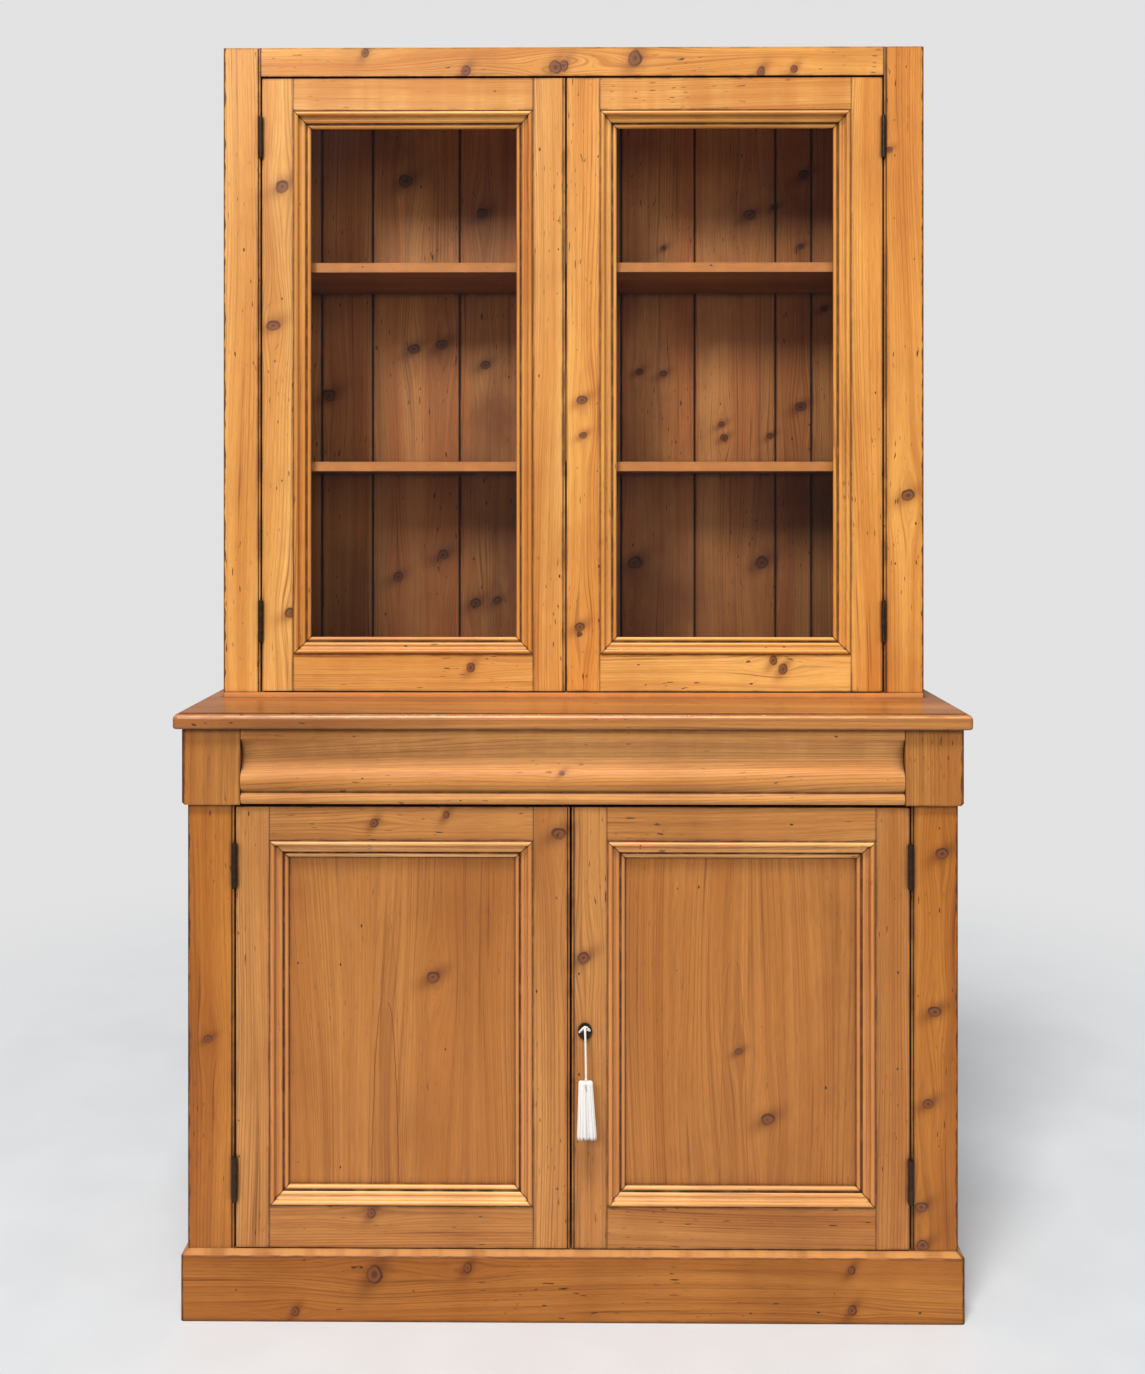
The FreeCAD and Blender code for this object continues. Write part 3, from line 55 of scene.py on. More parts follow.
class Finish:
    """A finish in the making: each call adds a step and returns what it gives."""

    def __init__(self, name, tree=None):
        self.material = None
        if tree is None:
            self.material = bpy.data.materials.new(name)
            self.material.use_nodes = True
            tree = self.material.node_tree
            tree.nodes.clear()
        self.tree = tree

    def step(self, kind, inputs=(), **settings):
        made = self.tree.nodes.new(kind)
        for key, setting in settings.items():
            setattr(made, key, setting)
        for key, given in dict(inputs).items():
            if isinstance(given, bpy.types.NodeSocket):
                self.tree.links.new(given, made.inputs[key])
            else:
                made.inputs[key].default_value = given
        return made

    def sum(self, operation, *terms, clamp=False):
        return self.step("ShaderNodeMath", enumerate(terms), operation=operation, use_clamp=clamp).outputs[0]

    def plus(self, a, b):
        return self.sum("ADD", a, b)

    def less(self, a, b, clamp=False):
        return self.sum("SUBTRACT", a, b, clamp=clamp)

    def times(self, a, b):
        return self.sum("MULTIPLY", a, b)

    def times_plus(self, a, b, c):
        """a b + c."""
        return self.sum("MULTIPLY_ADD", a, b, c)

    def over(self, a, b):
        return self.sum("DIVIDE", a, b)

    def size_of(self, a):
        return self.sum("ABSOLUTE", a)

    def most(self, a, b):
        return self.sum("MAXIMUM", a, b)

    def least(self, a, b):
        return self.sum("MINIMUM", a, b)

    def choose(self, share, first, second):
        return self.step("ShaderNodeMix", {0: share, 2: first, 3: second}).outputs[0]

    def combine(self, x, y, z=0.0):
        return self.step("ShaderNodeCombineXYZ", {0: x, 1: y, 2: z}).outputs[0]

    def ramp(self, given, low, high, start=0.0, end=1.0):
        """start up to low, end from high on, and a smooth step between."""
        return self.step(
            "ShaderNodeMapRange", {0: given, 1: low, 2: high, 3: start, 4: end}, interpolation_type="SMOOTHSTEP"
        ).outputs[0]

    def blend(self, share, first, second, way="MIX"):
        return self.step(
            "ShaderNodeMix", {0: share, 6: first, 7: second}, data_type="RGBA", blend_type=way
        ).outputs[2]

    def cloud(self, where, detail=2.0, rough=0.5, flat=True):
        """Noise from 0 to 1, one cell to a unit."""
        return self.step(
            "ShaderNodeTexNoise",
            {"Vector": where, "Scale": 1.0, "Detail": detail, "Roughness": rough},
            noise_dimensions="2D" if flat else "3D",
        ).outputs[0]

    def sheet_cloud(self, a, a_scale, b, b_scale, *detail):
        """Noise over two distances, each with its own scale."""
        return self.cloud(self.combine(self.times(a, a_scale), self.times(b, b_scale)), *detail)

    def solid_cloud(self, place, scales, detail, rough):
        """Noise through the solid, with a scale for each direction."""
        where = self.step("ShaderNodeVectorMath", {0: place, 1: scales}, operation="MULTIPLY").outputs[0]
        return self.cloud(where, detail, rough, flat=False)

    def shut_in(self, distance, samples, **settings):
        """1 in the open, falling to 0 where other surfaces close in within the distance."""
        return self.step(
            "ShaderNodeAmbientOcclusion", {"Distance": distance}, samples=samples, **settings
        ).outputs["AO"]

    def close(self, surface):
        self.step("ShaderNodeOutputMaterial", {"Surface": surface})
        return self.material


def knot_step():
    """One knot. With u across and v along the grain from its middle, in knot radii, and r = length of (u, 1.2 v):
    the grain is pulled aside by -0.9 u exp(-(u ** 2 + 0.1 v ** 2) / 5). The knot fills r < 1 and is darkest at its
    rim, r = 0.9. Soft wings of darker wood slant off it, exp(-0.6 ((v - 0.5 u) ** 2 + 0.3 u ** 2)), and fine rings
    (0.5 + 0.5 sin(14 r)) ** 3 run round it and fade out at r = 2.6."""
    tree = bpy.data.node_groups.new("knot", "ShaderNodeTree")
    results = ("Shift", "Core", "Ring", "Eye")
    for name in ("Across", "Along", "Wobble", "Middle across", "Middle along", "Radius") + results:
        tree.interface.new_socket(name=name, in_out="INPUT", socket_type="NodeSocketFloat")
    for name in results:
        tree.interface.new_socket(name=name, in_out="OUTPUT", socket_type="NodeSocketFloat")
    work = Finish("knot", tree)
    given = work.step("NodeGroupInput").outputs
    u = work.over(work.less(given["Across"], given["Middle across"]), given["Radius"])
    v = work.over(work.less(given["Along"], given["Middle along"]), given["Radius"])
    uu, vv = work.times(u, u), work.times(v, v)
    fade = work.sum("EXPONENT", work.times(work.times_plus(vv, 0.1, uu), -0.2))
    pull = work.times(work.times(u, given["Radius"]), fade)
    shift = work.times_plus(pull, -0.9, given["Shift"])
    away = work.sum("SQRT", work.times_plus(vv, 1.4, uu))
    away = work.times_plus(given["Wobble"], 0.8, away)
    core = work.most(given["Core"], work.ramp(away, 0.75, 1.1, 1.0, 0.0))
    rim = work.less(1.0, work.times(work.size_of(work.less(away, 0.9)), 3.5), clamp=True)
    middle = work.ramp(away, 0.1, 0.5, 0.6, 0.0)
    rim = work.times(rim, work.ramp(v, -0.6, 0.8, 0.5, 1.0))
    eye = work.most(given["Eye"], work.most(rim, middle))
    lean = work.times_plus(u, -0.5, v)
    wing = work.sum("EXPONENT", work.times(work.times_plus(uu, 0.3, work.times(lean, lean)), -0.6))
    wave = work.sum("SINE", work.times(away, 14.0))
    wave = work.sum("POWER", work.times_plus(wave, 0.5, 0.5), 3.0)
    ring = work.times(wave, work.ramp(away, 1.0, 2.6, 0.6, 0.0))
    ring = work.most(given["Ring"], work.most(ring, wing))
    out = work.step("NodeGroupOutput")
    for socket, result in zip(out.inputs, (shift, core, ring, eye)):
        tree.links.new(result, socket)
    return tree


KNOT = knot_step()


def darker(colour, *shares):
    """A colour with a share of its red, its green and its blue."""
    return tuple(c * k for c, k in zip(colour, shares)) + (1.0,)


# How far a step back in depth counts as a step across the grain, so that the grain runs on round an edge.
LEAN = 0.83
KNOT_WOOD, KNOT_RIM = tone(118, 69, 43), tone(44, 24, 16)
DASH_DARK, HOLE_DARK, JOINT_DARK = tone(44, 24, 13), tone(38, 20, 10), tone(40, 22, 12)
# The dark tones of edges, corners and dirt are partly painted shade; those of low and deep places are painted shade.
EDGE_WEAR_AND_SHADE, CORNER_WEAR_AND_SHADE, DIRT_AND_SHADE_DARK = tone(74, 42, 22), tone(66, 36, 18), tone(50, 24, 11)
SHADE_BELOW_DARK, DEEP_SHADE_DARK = tone(40, 24, 18), tone(30, 17, 11)


def seam(work, place, edge, full, gone):
    """1 within a distance of the edge, fading to 0 at another distance from it."""
    return work.ramp(work.size_of(work.less(place, edge)), full, gone, 1.0, 0.0)


def course(work, x, y, z, run, returns, mitres):
    """The distances across and along the grain, a mask of the upright lengths and the dark line of the mitres."""
    level_across, upright_across = work.times_plus(y, LEAN, z), work.times_plus(y, LEAN, x)
    if run == "up":
        across, along = upright_across, z
    elif run == "level":
        across, along = level_across, x
    else:
        across, along = work.plus(z, x), y
    if returns:
        # Past the mitre the board turns the corner, and its grain with it.
        turned = work.sum("GREATER_THAN", work.plus(work.size_of(x), y), returns)
        across = work.choose(turned, across, work.times_plus(x, LEAN, z))
        along = work.choose(turned, along, y)
    upright = joint = 0.0
    if mitres:
        west, east, low, high = mitres
        beside = work.least(work.less(x, west), work.less(east, x))
        above = work.least(work.less(z, low), work.less(high, z))
        upright = work.sum("LESS_THAN", beside, above)
        across = work.choose(upright, level_across, upright_across)
        along = work.choose(upright, x, z)
        joint = seam(work, beside, above, 0.0004, 0.0017)
    return across, along, upright, joint


def pine(name, pale, body, late, knots=(), run="up", ring=0.0050, gloss=0.42, wander=0.03, grime_and_shade=0.85, boards=(),
         mitres=None, joints=(), edges=(), lit_front=None, age=0.4, line=0.44, marks=0.22, coat=0.0, shine=0.35, deep_shade=0.0,
         near=0.014, arches=(), wear_and_shade=0.8, shade_below=None, veins=0.5, shaded=0.0, bands=(), seed=0.0, returns=None):
    """Old waxed pine. Across the grain, growth lines are (0.5 + 0.5 sin(2 pi t / ring)) ** 4, where t is the
    distance across, moved by a slow wander and pushed aside by knots. Streaks and fibres are noise drawn out
    along the grain. An arch is a dark line where the distance across from its middle is wide (fall / deep) ** 0.3.
    Dirt and painted shade gather where the surface is shut in by its neighbours; edges are darkened, partly worn and
    partly painted shade, and joints are dark.

    Knots are (across, along, radius), arches (middle, top, width, depth, strength), bands (low z, high z, tone,
    share), edges (x, width, front y), lit_front (front y, tone) and shade_below (low z, high z, share). Mitres are the
    least and most x and z of a mitred frame, and returns is the |x| + y past which a board turns the corner. Boards and
    joints are the x of dark seams. Line, veins and age darken the grain, marks are dents, and bands paint tones by
    height, painted highlights and shade among them. Edges darken outer arrises, partly worn and partly painted shade;
    wear_and_shade darkens corners that stick out, partly rubbed and partly painted shade; grime_and_shade is dirt and
    painted shade where neighbours close in, near is how close a neighbour must be, and deep_shade is painted shade deep
    inside. shade_below is painted shade towards the bottom, lit_front a painted highlight on a front edge, shaded is
    painted shade on upright lengths, seed moves the pattern along the grain, and gloss, coat and shine are the wax."""
    work = Finish(name)
    place = work.step("ShaderNodeTexCoord").outputs["Object"]
    x, y, z = work.step("ShaderNodeSeparateXYZ", {0: place}).outputs
    across, along, upright, joint = course(work, x, y, z, run, returns, mitres)
    number = 0
    for edge in boards:
        number = (number * 5 + 3) % 11
        seed = work.times_plus(work.sum("GREATER_THAN", x, edge), 0.37 + 0.19 * number, seed)
        joint = work.most(joint, seam(work, x, edge, 0.0007, 0.0026))
    for edge in joints:
        joint = work.most(joint, seam(work, x, edge, 0.0005, 0.0015))
    run_on = work.plus(along, seed)

    def drawn(t, across_scale, along_scale, *detail):
        return work.sheet_cloud(t, across_scale, run_on, along_scale, *detail)

    shift = core = rings = eye = 0.0
    wobble = work.less(work.sheet_cloud(across, 48, along, 48, 1.0), 0.5)
    for knot in knots:
        shift, core, rings, eye = work.step(
            "ShaderNodeGroup", enumerate((across, along, wobble, *knot, shift, core, rings, eye)), node_tree=KNOT
        ).outputs

    # The grain, from broad to fine.
    t = work.times_plus(work.less(drawn(across, 6, 0.8, 1.5), 0.5), wander * 2, work.plus(across, shift))
    phase = work.times_plus(drawn(t, 60, 0.4, 1.0), 14.0, work.times(t, 2 * math.pi / ring))
    growth = work.sum("POWER", work.times_plus(work.sum("SINE", phase), 0.5, 0.5), 4.0)
    growth = work.times(growth, work.ramp(drawn(t, 22, 1.6, 2.0), 0.35, 0.7, 0.15, 1.0))
    fibre = drawn(t, 1300, 26, 2.0, 0.6)
    patch = work.solid_cloud(place, (4.1, 4.1, 2.9), 4.0, 0.55)
    grain_line = darker(late, 0.75, 0.62, 0.5)
    colour = work.blend(work.ramp(drawn(t, 16, 0.9, 2.0), 0.25, 0.75), pale, body)
    colour = work.blend(work.ramp(drawn(t, 95, 1.3, 4.0, 0.6), 0.35, 0.8, 0.0, 0.42), colour, late)
    colour = work.blend(work.times(growth, line), colour, grain_line)
    colour = work.blend(work.ramp(patch, 0.42, 0.8, 0.0, age), colour, darker(late, 0.7, 0.6, 0.5))
    colour = work.blend(work.ramp(fibre, 0.25, 0.85, 0.0, 0.3), colour, darker(late, 0.5, 0.42, 0.36))
    vein = work.times(work.ramp(drawn(t, 190, 2.4, 2.0), 0.62, 0.74), work.ramp(drawn(t, 30, 3.0, 2.0), 0.45, 0.65))
    colour = work.blend(work.times(vein, veins), colour, darker(late, 0.4, 0.3, 0.24))
    dash = work.times(work.ramp(drawn(t, 230, 40, 1.0), 0.72, 0.8), work.ramp(drawn(across, 9, 5, 2.0), 0.5, 0.6))
    colour = work.blend(work.times(dash, min(0.85, 3.8 * marks)), colour, DASH_DARK)
    if knots:
        colour = work.blend(work.times(rings, 0.7), colour, darker(late, 0.5, 0.4, 0.36))
        colour = work.blend(work.times(core, 0.78), colour, KNOT_WOOD)
        colour = work.blend(work.times(eye, 0.9), colour, KNOT_RIM)
    for middle, top, wide, deep, strength in arches:
        below = work.less(top, along)
        fall = work.most(work.over(below, deep), 0.0)
        aside = work.size_of(work.less(work.plus(across, work.times(wobble, 0.002)), middle))
        out = work.less(aside, work.times(work.sum("POWER", fall, 0.3), wide))
        rim = work.ramp(work.size_of(out), 0.0003, 0.0014, strength, 0.0)
        seen = work.times(rim, work.ramp(below, -0.002, 0.004))
        inside = work.times(work.ramp(out, -0.004, 0.0, 0.12, 0.0), work.ramp(below, 0.0, 0.02))
        colour = work.blend(work.most(seen, inside), colour, grain_line)
    # A painted highlight: the front edge is lighter than the faces, where the light falls on it.
    if lit_front:
        front, highlight_tone = lit_front
        colour = work.blend(work.times(work.sum("LESS_THAN", y, front), 0.8), colour, highlight_tone)

    # Dents and worm holes: a few cells of a drawn-out cell pattern hold one small dark spot each.
    where = work.combine(work.times(across, 30), work.times(along, 15))
    cells = work.step("ShaderNodeTexVoronoi", {"Vector": where, "Scale": 1.0}, voronoi_dimensions="2D").outputs
    pick = work.step("ShaderNodeSeparateColor", {0: cells["Color"]}).outputs[0]
    size = work.times(work.less(pick, 1.0 - marks), 0.055 / marks)
    hole = work.ramp(work.over(cells["Distance"], work.most(size, 0.0005)), 0.6, 1.1, 1.0, 0.0)
    colour = work.blend(work.times(hole, 0.88), colour, HOLE_DARK)
    # Painted shade: the upright lengths of a mitred frame are darker than the level ones, which catch the light from
    # above.
    if mitres:
        colour = work.blend(work.times(upright, shaded), colour, darker(late, 1.0, 0.85, 0.8))
    # Bands of tone by height; some of them are painted highlights and painted shade.
    for low, high, band_tone, share in bands:
        height = work.times_plus(wobble, 0.0014, z)
        start = work.ramp(height, low - 0.0008, low + 0.0008)
        band = work.times(start, work.ramp(height, high - 0.0008, high + 0.0008, 1.0, 0.0))
        band = work.times(band, work.ramp(drawn(x, 24, 0.2, 3.0), 0.3, 0.6, 0.35, 1.0))
        colour = work.blend(work.times(band, share), colour, band_tone)
    colour = work.blend(work.times(joint, 0.85), colour, JOINT_DARK)
    # Outer edges darkened: partly worn, partly painted shade where the rounded arris turns to the side.
    worn_and_shaded = 0.0
    for edge, width, front in edges:
        far = work.times_plus(wobble, 0.006, work.less(work.size_of(x), edge - width))
        worn_and_shaded = work.most(worn_and_shaded, work.times(work.ramp(far, 0.0, 0.0015, 0.0, 1.0), work.sum("LESS_THAN", y, front)))
    if edges:
        worn_and_shaded = work.times(worn_and_shaded, work.ramp(work.sheet_cloud(x, 90, z, 26, 3.0), 0.25, 0.6, 0.55, 0.9))
        colour = work.blend(worn_and_shaded, colour, EDGE_WEAR_AND_SHADE)

    # Corners that stick out are darkened: partly rubbed, with old wax gathered on them, and partly painted shade where
    # the rounded arris turns from the light.
    rubbed = work.solid_cloud(place, (22.0, 22.0, 13.0), 4.0, 0.6)
    corner = work.ramp(work.shut_in(0.004, 4, inside=True, only_local=True), 0.5, 0.97, wear_and_shade, 0.0)
    colour = work.blend(work.times(corner, work.ramp(rubbed, 0.4, 0.62, 0.25, 1.0)), colour, CORNER_WEAR_AND_SHADE)
    # Dirt and painted shade: darker where other surfaces close in, as in quirks, coves and between parts.
    dirt_and_shade = work.ramp(work.shut_in(near, 6), 0.4, 0.97, grime_and_shade, 0.0)
    dirt_and_shade = work.times(dirt_and_shade, work.ramp(work.sheet_cloud(x, 34, z, 34, 2.0), 0.2, 0.6, 0.65, 1.0))
    colour = work.blend(dirt_and_shade, colour, DIRT_AND_SHADE_DARK)
    # Painted shade, darker towards the bottom.
    if shade_below:
        low, high, share = shade_below
        colour = work.blend(work.ramp(z, low, high, share, 0.0), colour, SHADE_BELOW_DARK)
    # Painted shade deep inside, where surfaces close in within 0.3 m.
    if deep_shade:
        colour = work.blend(work.ramp(work.shut_in(0.3, 8), 0.15, 0.5, deep_shade, 0.0), colour, DEEP_SHADE_DARK)

    rough = work.times_plus(dirt_and_shade, 0.3, work.times_plus(patch, 0.12, gloss - 0.1))
    rough = work.times_plus(fibre, 0.14, rough)
    height = work.times_plus(growth, 0.3, work.times(fibre, 0.3))
    height = work.times_plus(work.most(hole, joint), -2.0, work.times_plus(patch, 0.8, height))
    bump = work.step("ShaderNodeBump", {"Strength": 0.3, "Distance": 0.0007, "Height": height}).outputs[0]
    wax = {"Coat Weight": coat, "Coat Roughness": 0.22, "IOR": 1.47, "Specular IOR Level": shine}
    return work.close(work.step(
        "ShaderNodeBsdfPrincipled", {"Base Color": colour, "Roughness": rough, "Normal": bump, **wax}
    ).outputs[0])


def spots(y, places, run="up"):
    """Knots given as (x, z, radius) on a face at depth y, put across and along the grain."""
    return [(x + LEAN * y, z, 1.1 * r) if run == "up" else (z + LEAN * y, x, 0.95 * r) for x, z, r in places]


def glazing():
    """Thin clear glass: mostly see-through, with a gloss that grows towards grazing sight and a trace of dust."""
    work = Finish("window_glass")
    place = work.step("ShaderNodeTexCoord").outputs["Object"]
    dust = work.solid_cloud(place, (3.0, 3.0, 2.2), 4.0, 0.6)
    wave = work.solid_cloud(place, (4.5, 4.5, 3.0), 1.0, 0.5)
    bump = work.step("ShaderNodeBump", {"Strength": 0.25, "Distance": 0.002, "Height": wave}).outputs[0]
    clear = work.step("ShaderNodeBsdfTransparent", {"Color": (0.985, 0.99, 0.985, 1.0)}).outputs[0]
    rough = work.ramp(dust, 0.3, 0.8, 0.03, 0.12)
    white = (1.0, 1.0, 1.0, 1.0)
    gloss = work.step("ShaderNodeBsdfGlossy", {"Color": white, "Roughness": rough, "Normal": bump}).outputs[0]
    grazing = work.step("ShaderNodeFresnel", {"IOR": 1.45, "Normal": bump}).outputs[0]
    share = work.times(grazing, work.ramp(dust, 0.2, 0.8, 0.2, 0.38))
    return work.close(work.step("ShaderNodeMixShader", {0: share, 1: clear, 2: gloss}).outputs[0])


def old_iron(name, colour, rust, gloss):
    """Blackened iron and bronze: a dark ground, brown where it has rusted, brighter where hands have rubbed it."""
    work = Finish(name)
    place = work.step("ShaderNodeTexCoord").outputs["Object"]
    coarse = work.solid_cloud(place, (120.0, 120.0, 120.0), 4.0, 0.6)
    fine = work.solid_cloud(place, (900.0, 900.0, 900.0), 3.0, 0.6)
    shade = work.blend(work.ramp(coarse, 0.4, 0.7), colour, rust)
    shade = work.blend(work.ramp(fine, 0.5, 0.8, 0.0, 0.4), shade, darker(colour, 1.6, 1.6, 1.6))
    rough = work.times_plus(coarse, 0.35, gloss)
    height = work.plus(coarse, work.times(fine, 0.4))
    bump = work.step("ShaderNodeBump", {"Strength": 0.4, "Distance": 0.0004, "Height": height}).outputs[0]
    return work.close(work.step(
        "ShaderNodeBsdfPrincipled", {"Base Color": shade, "Metallic": 0.75, "Roughness": rough, "Normal": bump}
    ).outputs[0])


def cotton(name, shaded, pale, between):
    """Spun thread: each strand's twist is a slanting wave along its own u, painted as light and shade, with fluff and
    painted shade between the threads.
    """
    work = Finish(name)
    place = work.step("ShaderNodeTexCoord").outputs
    u, v = work.step("ShaderNodeSeparateXYZ", {0: place["UV"]}).outputs[:2]
    twist = work.sum("SINE", work.times_plus(u, 3400.0, work.times(v, 6.283)))
    fluff = work.solid_cloud(place["Object"], (1500.0, 1500.0, 500.0), 3.0, 0.6)
    # The twist is painted shade and light along each strand.
    shade = work.blend(work.ramp(twist, -1.0, 0.6), shaded, pale)
    shade = work.blend(work.ramp(fluff, 0.3, 0.7, 0.0, 0.3), shade, darker(pale, 0.86, 0.84, 0.81))
    # Painted shade between the threads, where they close in.
    shade = work.blend(work.ramp(work.shut_in(0.005, 6), 0.1, 0.8, 0.55, 0.0), shade, between)
    rough = work.ramp(fluff, 0.2, 0.8, 0.8, 0.95)
    height = work.plus(twist, fluff)
    bump = work.step("ShaderNodeBump", {"Strength": 0.5, "Distance": 0.0003, "Height": height}).outputs[0]
    sheen = {"Sheen Weight": 0.3, "Sheen Roughness": 0.5}
    return work.close(work.step(
        "ShaderNodeBsdfPrincipled", {"Base Color": shade, "Roughness": rough, "Normal": bump, **sheen}
    ).outputs[0])


# Tones of wood: pale, body and late growth.
AMBER = tone(241, 176, 88), tone(216, 139, 58), tone(168, 93, 32)
HONEY = tone(241, 182, 99), tone(217, 147, 68), tone(171, 99, 37)
TAN = tone(200, 138, 73), tone(177, 112, 52), tone(127, 69, 29)
ORANGE = tone(190, 121, 47), tone(168, 97, 32), tone(118, 60, 15)
FIELD = tone(188, 124, 60), tone(174, 108, 47), tone(128, 70, 26)
WARM = tone(230, 167, 99), tone(205, 139, 73), tone(154, 92, 42)
BRIGHT = tone(248, 186, 114), tone(228, 160, 88), tone(168, 102, 46)
BLOCK = tone(191, 127, 60), tone(168, 102, 44), tone(118, 62, 22)
SHELF = tone(172, 104, 48), tone(142, 78, 34), tone(90, 44, 20)
BOARD = tone(252, 176, 100), tone(232, 142, 74), tone(150, 80, 42)
RAW = tone(206, 160, 108), tone(178, 128, 80), tone(134, 86, 48)
PLINTH = tone(184, 120, 57), tone(160, 96, 41), tone(113, 60, 23)
WORKTOP = tone(196, 132, 68), tone(169, 104, 50), tone(111, 60, 25)


def shoulders(*nodes):
    """The x of a rail's two ends where they show: the least and most x of its corners on its front plane."""
    ends = []
    for name in nodes:
        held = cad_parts[name].data.vertices
        corners = np.zeros(len(held) * 3)
        held.foreach_get("co", corners)
        corners = corners.reshape(-1, 3)
        front = corners[corners[:, 1] < corners[:, 1].min() + 0.0004]
        ends += [float(front[:, 0].min()), float(front[:, 0].max())]
    return ends


# Depths of the faces that knots are placed on.
UPPER_FACE, LOWER_FACE, BLOCK_FACE = -0.0535, -0.2155, -0.2225
PLINTH_FACE, PANEL_FACE, BACK_FACE = -0.2245, -0.2015, 0.2275

# Edges darkened at the two cupboards' outer corners, partly worn and partly painted shade where the rounded arris
# turns to the side: x, width and front y.
UPPER_EDGE, LOWER_EDGE = (0.591, 0.0045, -0.05), (0.605, 0.004, -0.212)
BLOCK_EDGE, PLINTH_EDGE = (0.611, 0.0035, -0.219), (0.614, 0.005, -0.22)

upper_uprights = {
    "knots": spots(UPPER_FACE, [
        (-0.491, 1.817, 0.011), (-0.506, 1.582, 0.010), (-0.476, 1.096, 0.009), (0.016, 1.455, 0.008),
        (0.017, 1.396, 0.006), (0.012, 1.073, 0.008), (0.564, 1.294, 0.010), (0.532, 1.876, 0.005),
    ]),
    "edges": [UPPER_EDGE],
}
left_upright = pine("honey_uprights", *HONEY, **upper_uprights)
right_upright = pine("amber_uprights", *AMBER, **upper_uprights)
# The doors' top rails are a little browner than their bottom rails.
upper_level = pine(
    "honey_rails", *HONEY, run="level", seed=2.3, bands=[(1.85, 2.1, tone(184, 104, 32), 0.42)],
    knots=spots(UPPER_FACE, [(-0.172, 1.004, 0.008), (0.337, 1.017, 0.008), (0.354, 1.002, 0.009)], "level"),
    joints=shoulders("upper_left_door_rails", "upper_right_door_rails"),
)
top_rail = pine(
    "honey_top_rail", *AMBER, run="level", joints=shoulders("upper_top_rail"), edges=[UPPER_EDGE],
    knots=spots(UPPER_FACE, [
        (-0.351, 2.041, 0.008), (-0.181, 2.011, 0.009), (-0.030, 2.017, 0.012), (-0.015, 2.020, 0.010),
        (0.106, 2.031, 0.015), (0.317, 2.008, 0.009), (0.372, 2.012, 0.007),
    ], "level"),
)
lower_upright = pine(
    "tan_uprights", *TAN, knots=spots(LOWER_FACE, [(-0.022, 0.763, 0.010), (0.018, 0.568, 0.009)])
)
lower_level = pine(
    "tan_rails", *TAN, run="level", joints=shoulders("lower_left_door_rails", "lower_right_door_rails"),
    knots=spots(LOWER_FACE, [(-0.312, 0.779, 0.007), (-0.198, 0.792, 0.007), (-0.315, 0.166, 0.008)], "level"),
)
lower_panel = pine(
    "tan_panels", *FIELD, marks=0.08, veins=0.35, wander=0.05, ring=0.0062, line=0.42,
    arches=[(x + LEAN * PANEL_FACE, *shape) for x, *shape in (
        (-0.2957, 0.494, 0.021, 0.25, 0.7), (-0.2967, 0.632, 0.021, 0.2, 0.3), (0.255, 0.56, 0.02, 0.25, 0.4)
    )],
    knots=spots(PANEL_FACE, [(-0.219, 0.533, 0.0095), (0.263, 0.416, 0.0055), (0.308, 0.309, 0.010)]),
)
case_upright = pine(
    "orange_uprights", *ORANGE, edges=[LOWER_EDGE],
    knots=spots(LOWER_FACE, [
        (-0.573, 0.439, 0.006), (0.580, 0.733, 0.009), (0.568, 0.485, 0.009), (0.558, 0.341, 0.008),
        (0.548, 0.179, 0.008), (0.550, 0.119, 0.008),
    ]),
)
# The plinth's chamfer has a painted highlight, over a dark line painted below it.
# Its boards turn the corner at |x| + y = 0.3905.
case_level = pine(
    "orange_plinth", *PLINTH, run="level", edges=[PLINTH_EDGE], shine=0.15, gloss=0.5, near=0.008, marks=0.3,
    returns=0.3905,
    bands=[(0.1025, 0.112, tone(218, 156, 88), 0.45), (0.1003, 0.1025, tone(70, 40, 20), 0.6)],
    knots=spots(PLINTH_FACE, [
        (-0.310, 0.075, 0.015), (-0.163, 0.085, 0.008), (-0.434, 0.016, 0.007), (0.436, 0.085, 0.007),
        (0.437, 0.021, 0.008),
    ], "level"),
)
block_upright = pine("brown_blocks", *BLOCK, marks=0.2, edges=[BLOCK_EDGE])
# Painted shade on the drawer front: its cove darkened, and its fillet browner under the worktop's overhang, where
# shadow falls.
drawer_face = pine(
    "tan_drawer_front", *WARM, run="level", gloss=0.46, shine=0.25, marks=0.15, near=0.02, wear_and_shade=0.0,
    knots=spots(BLOCK_FACE, [(-0.016, 0.861, 0.005)], "level"),
    bands=[(0.881, 0.9085, tone(120, 74, 36), 0.22), (0.912, 0.926, tone(190, 116, 50), 0.3)],
)
# On the worktop's front edge, a painted highlight along the rounded top and painted shade along the lower arris.
top_wax = pine(
    "waxed_worktop", *WORKTOP, run="level", gloss=0.34, coat=0.2,
    bands=[(0.9478, 0.9508, tone(228, 168, 100), 0.45), (0.9285, 0.9315, tone(86, 50, 26), 0.5)],
)
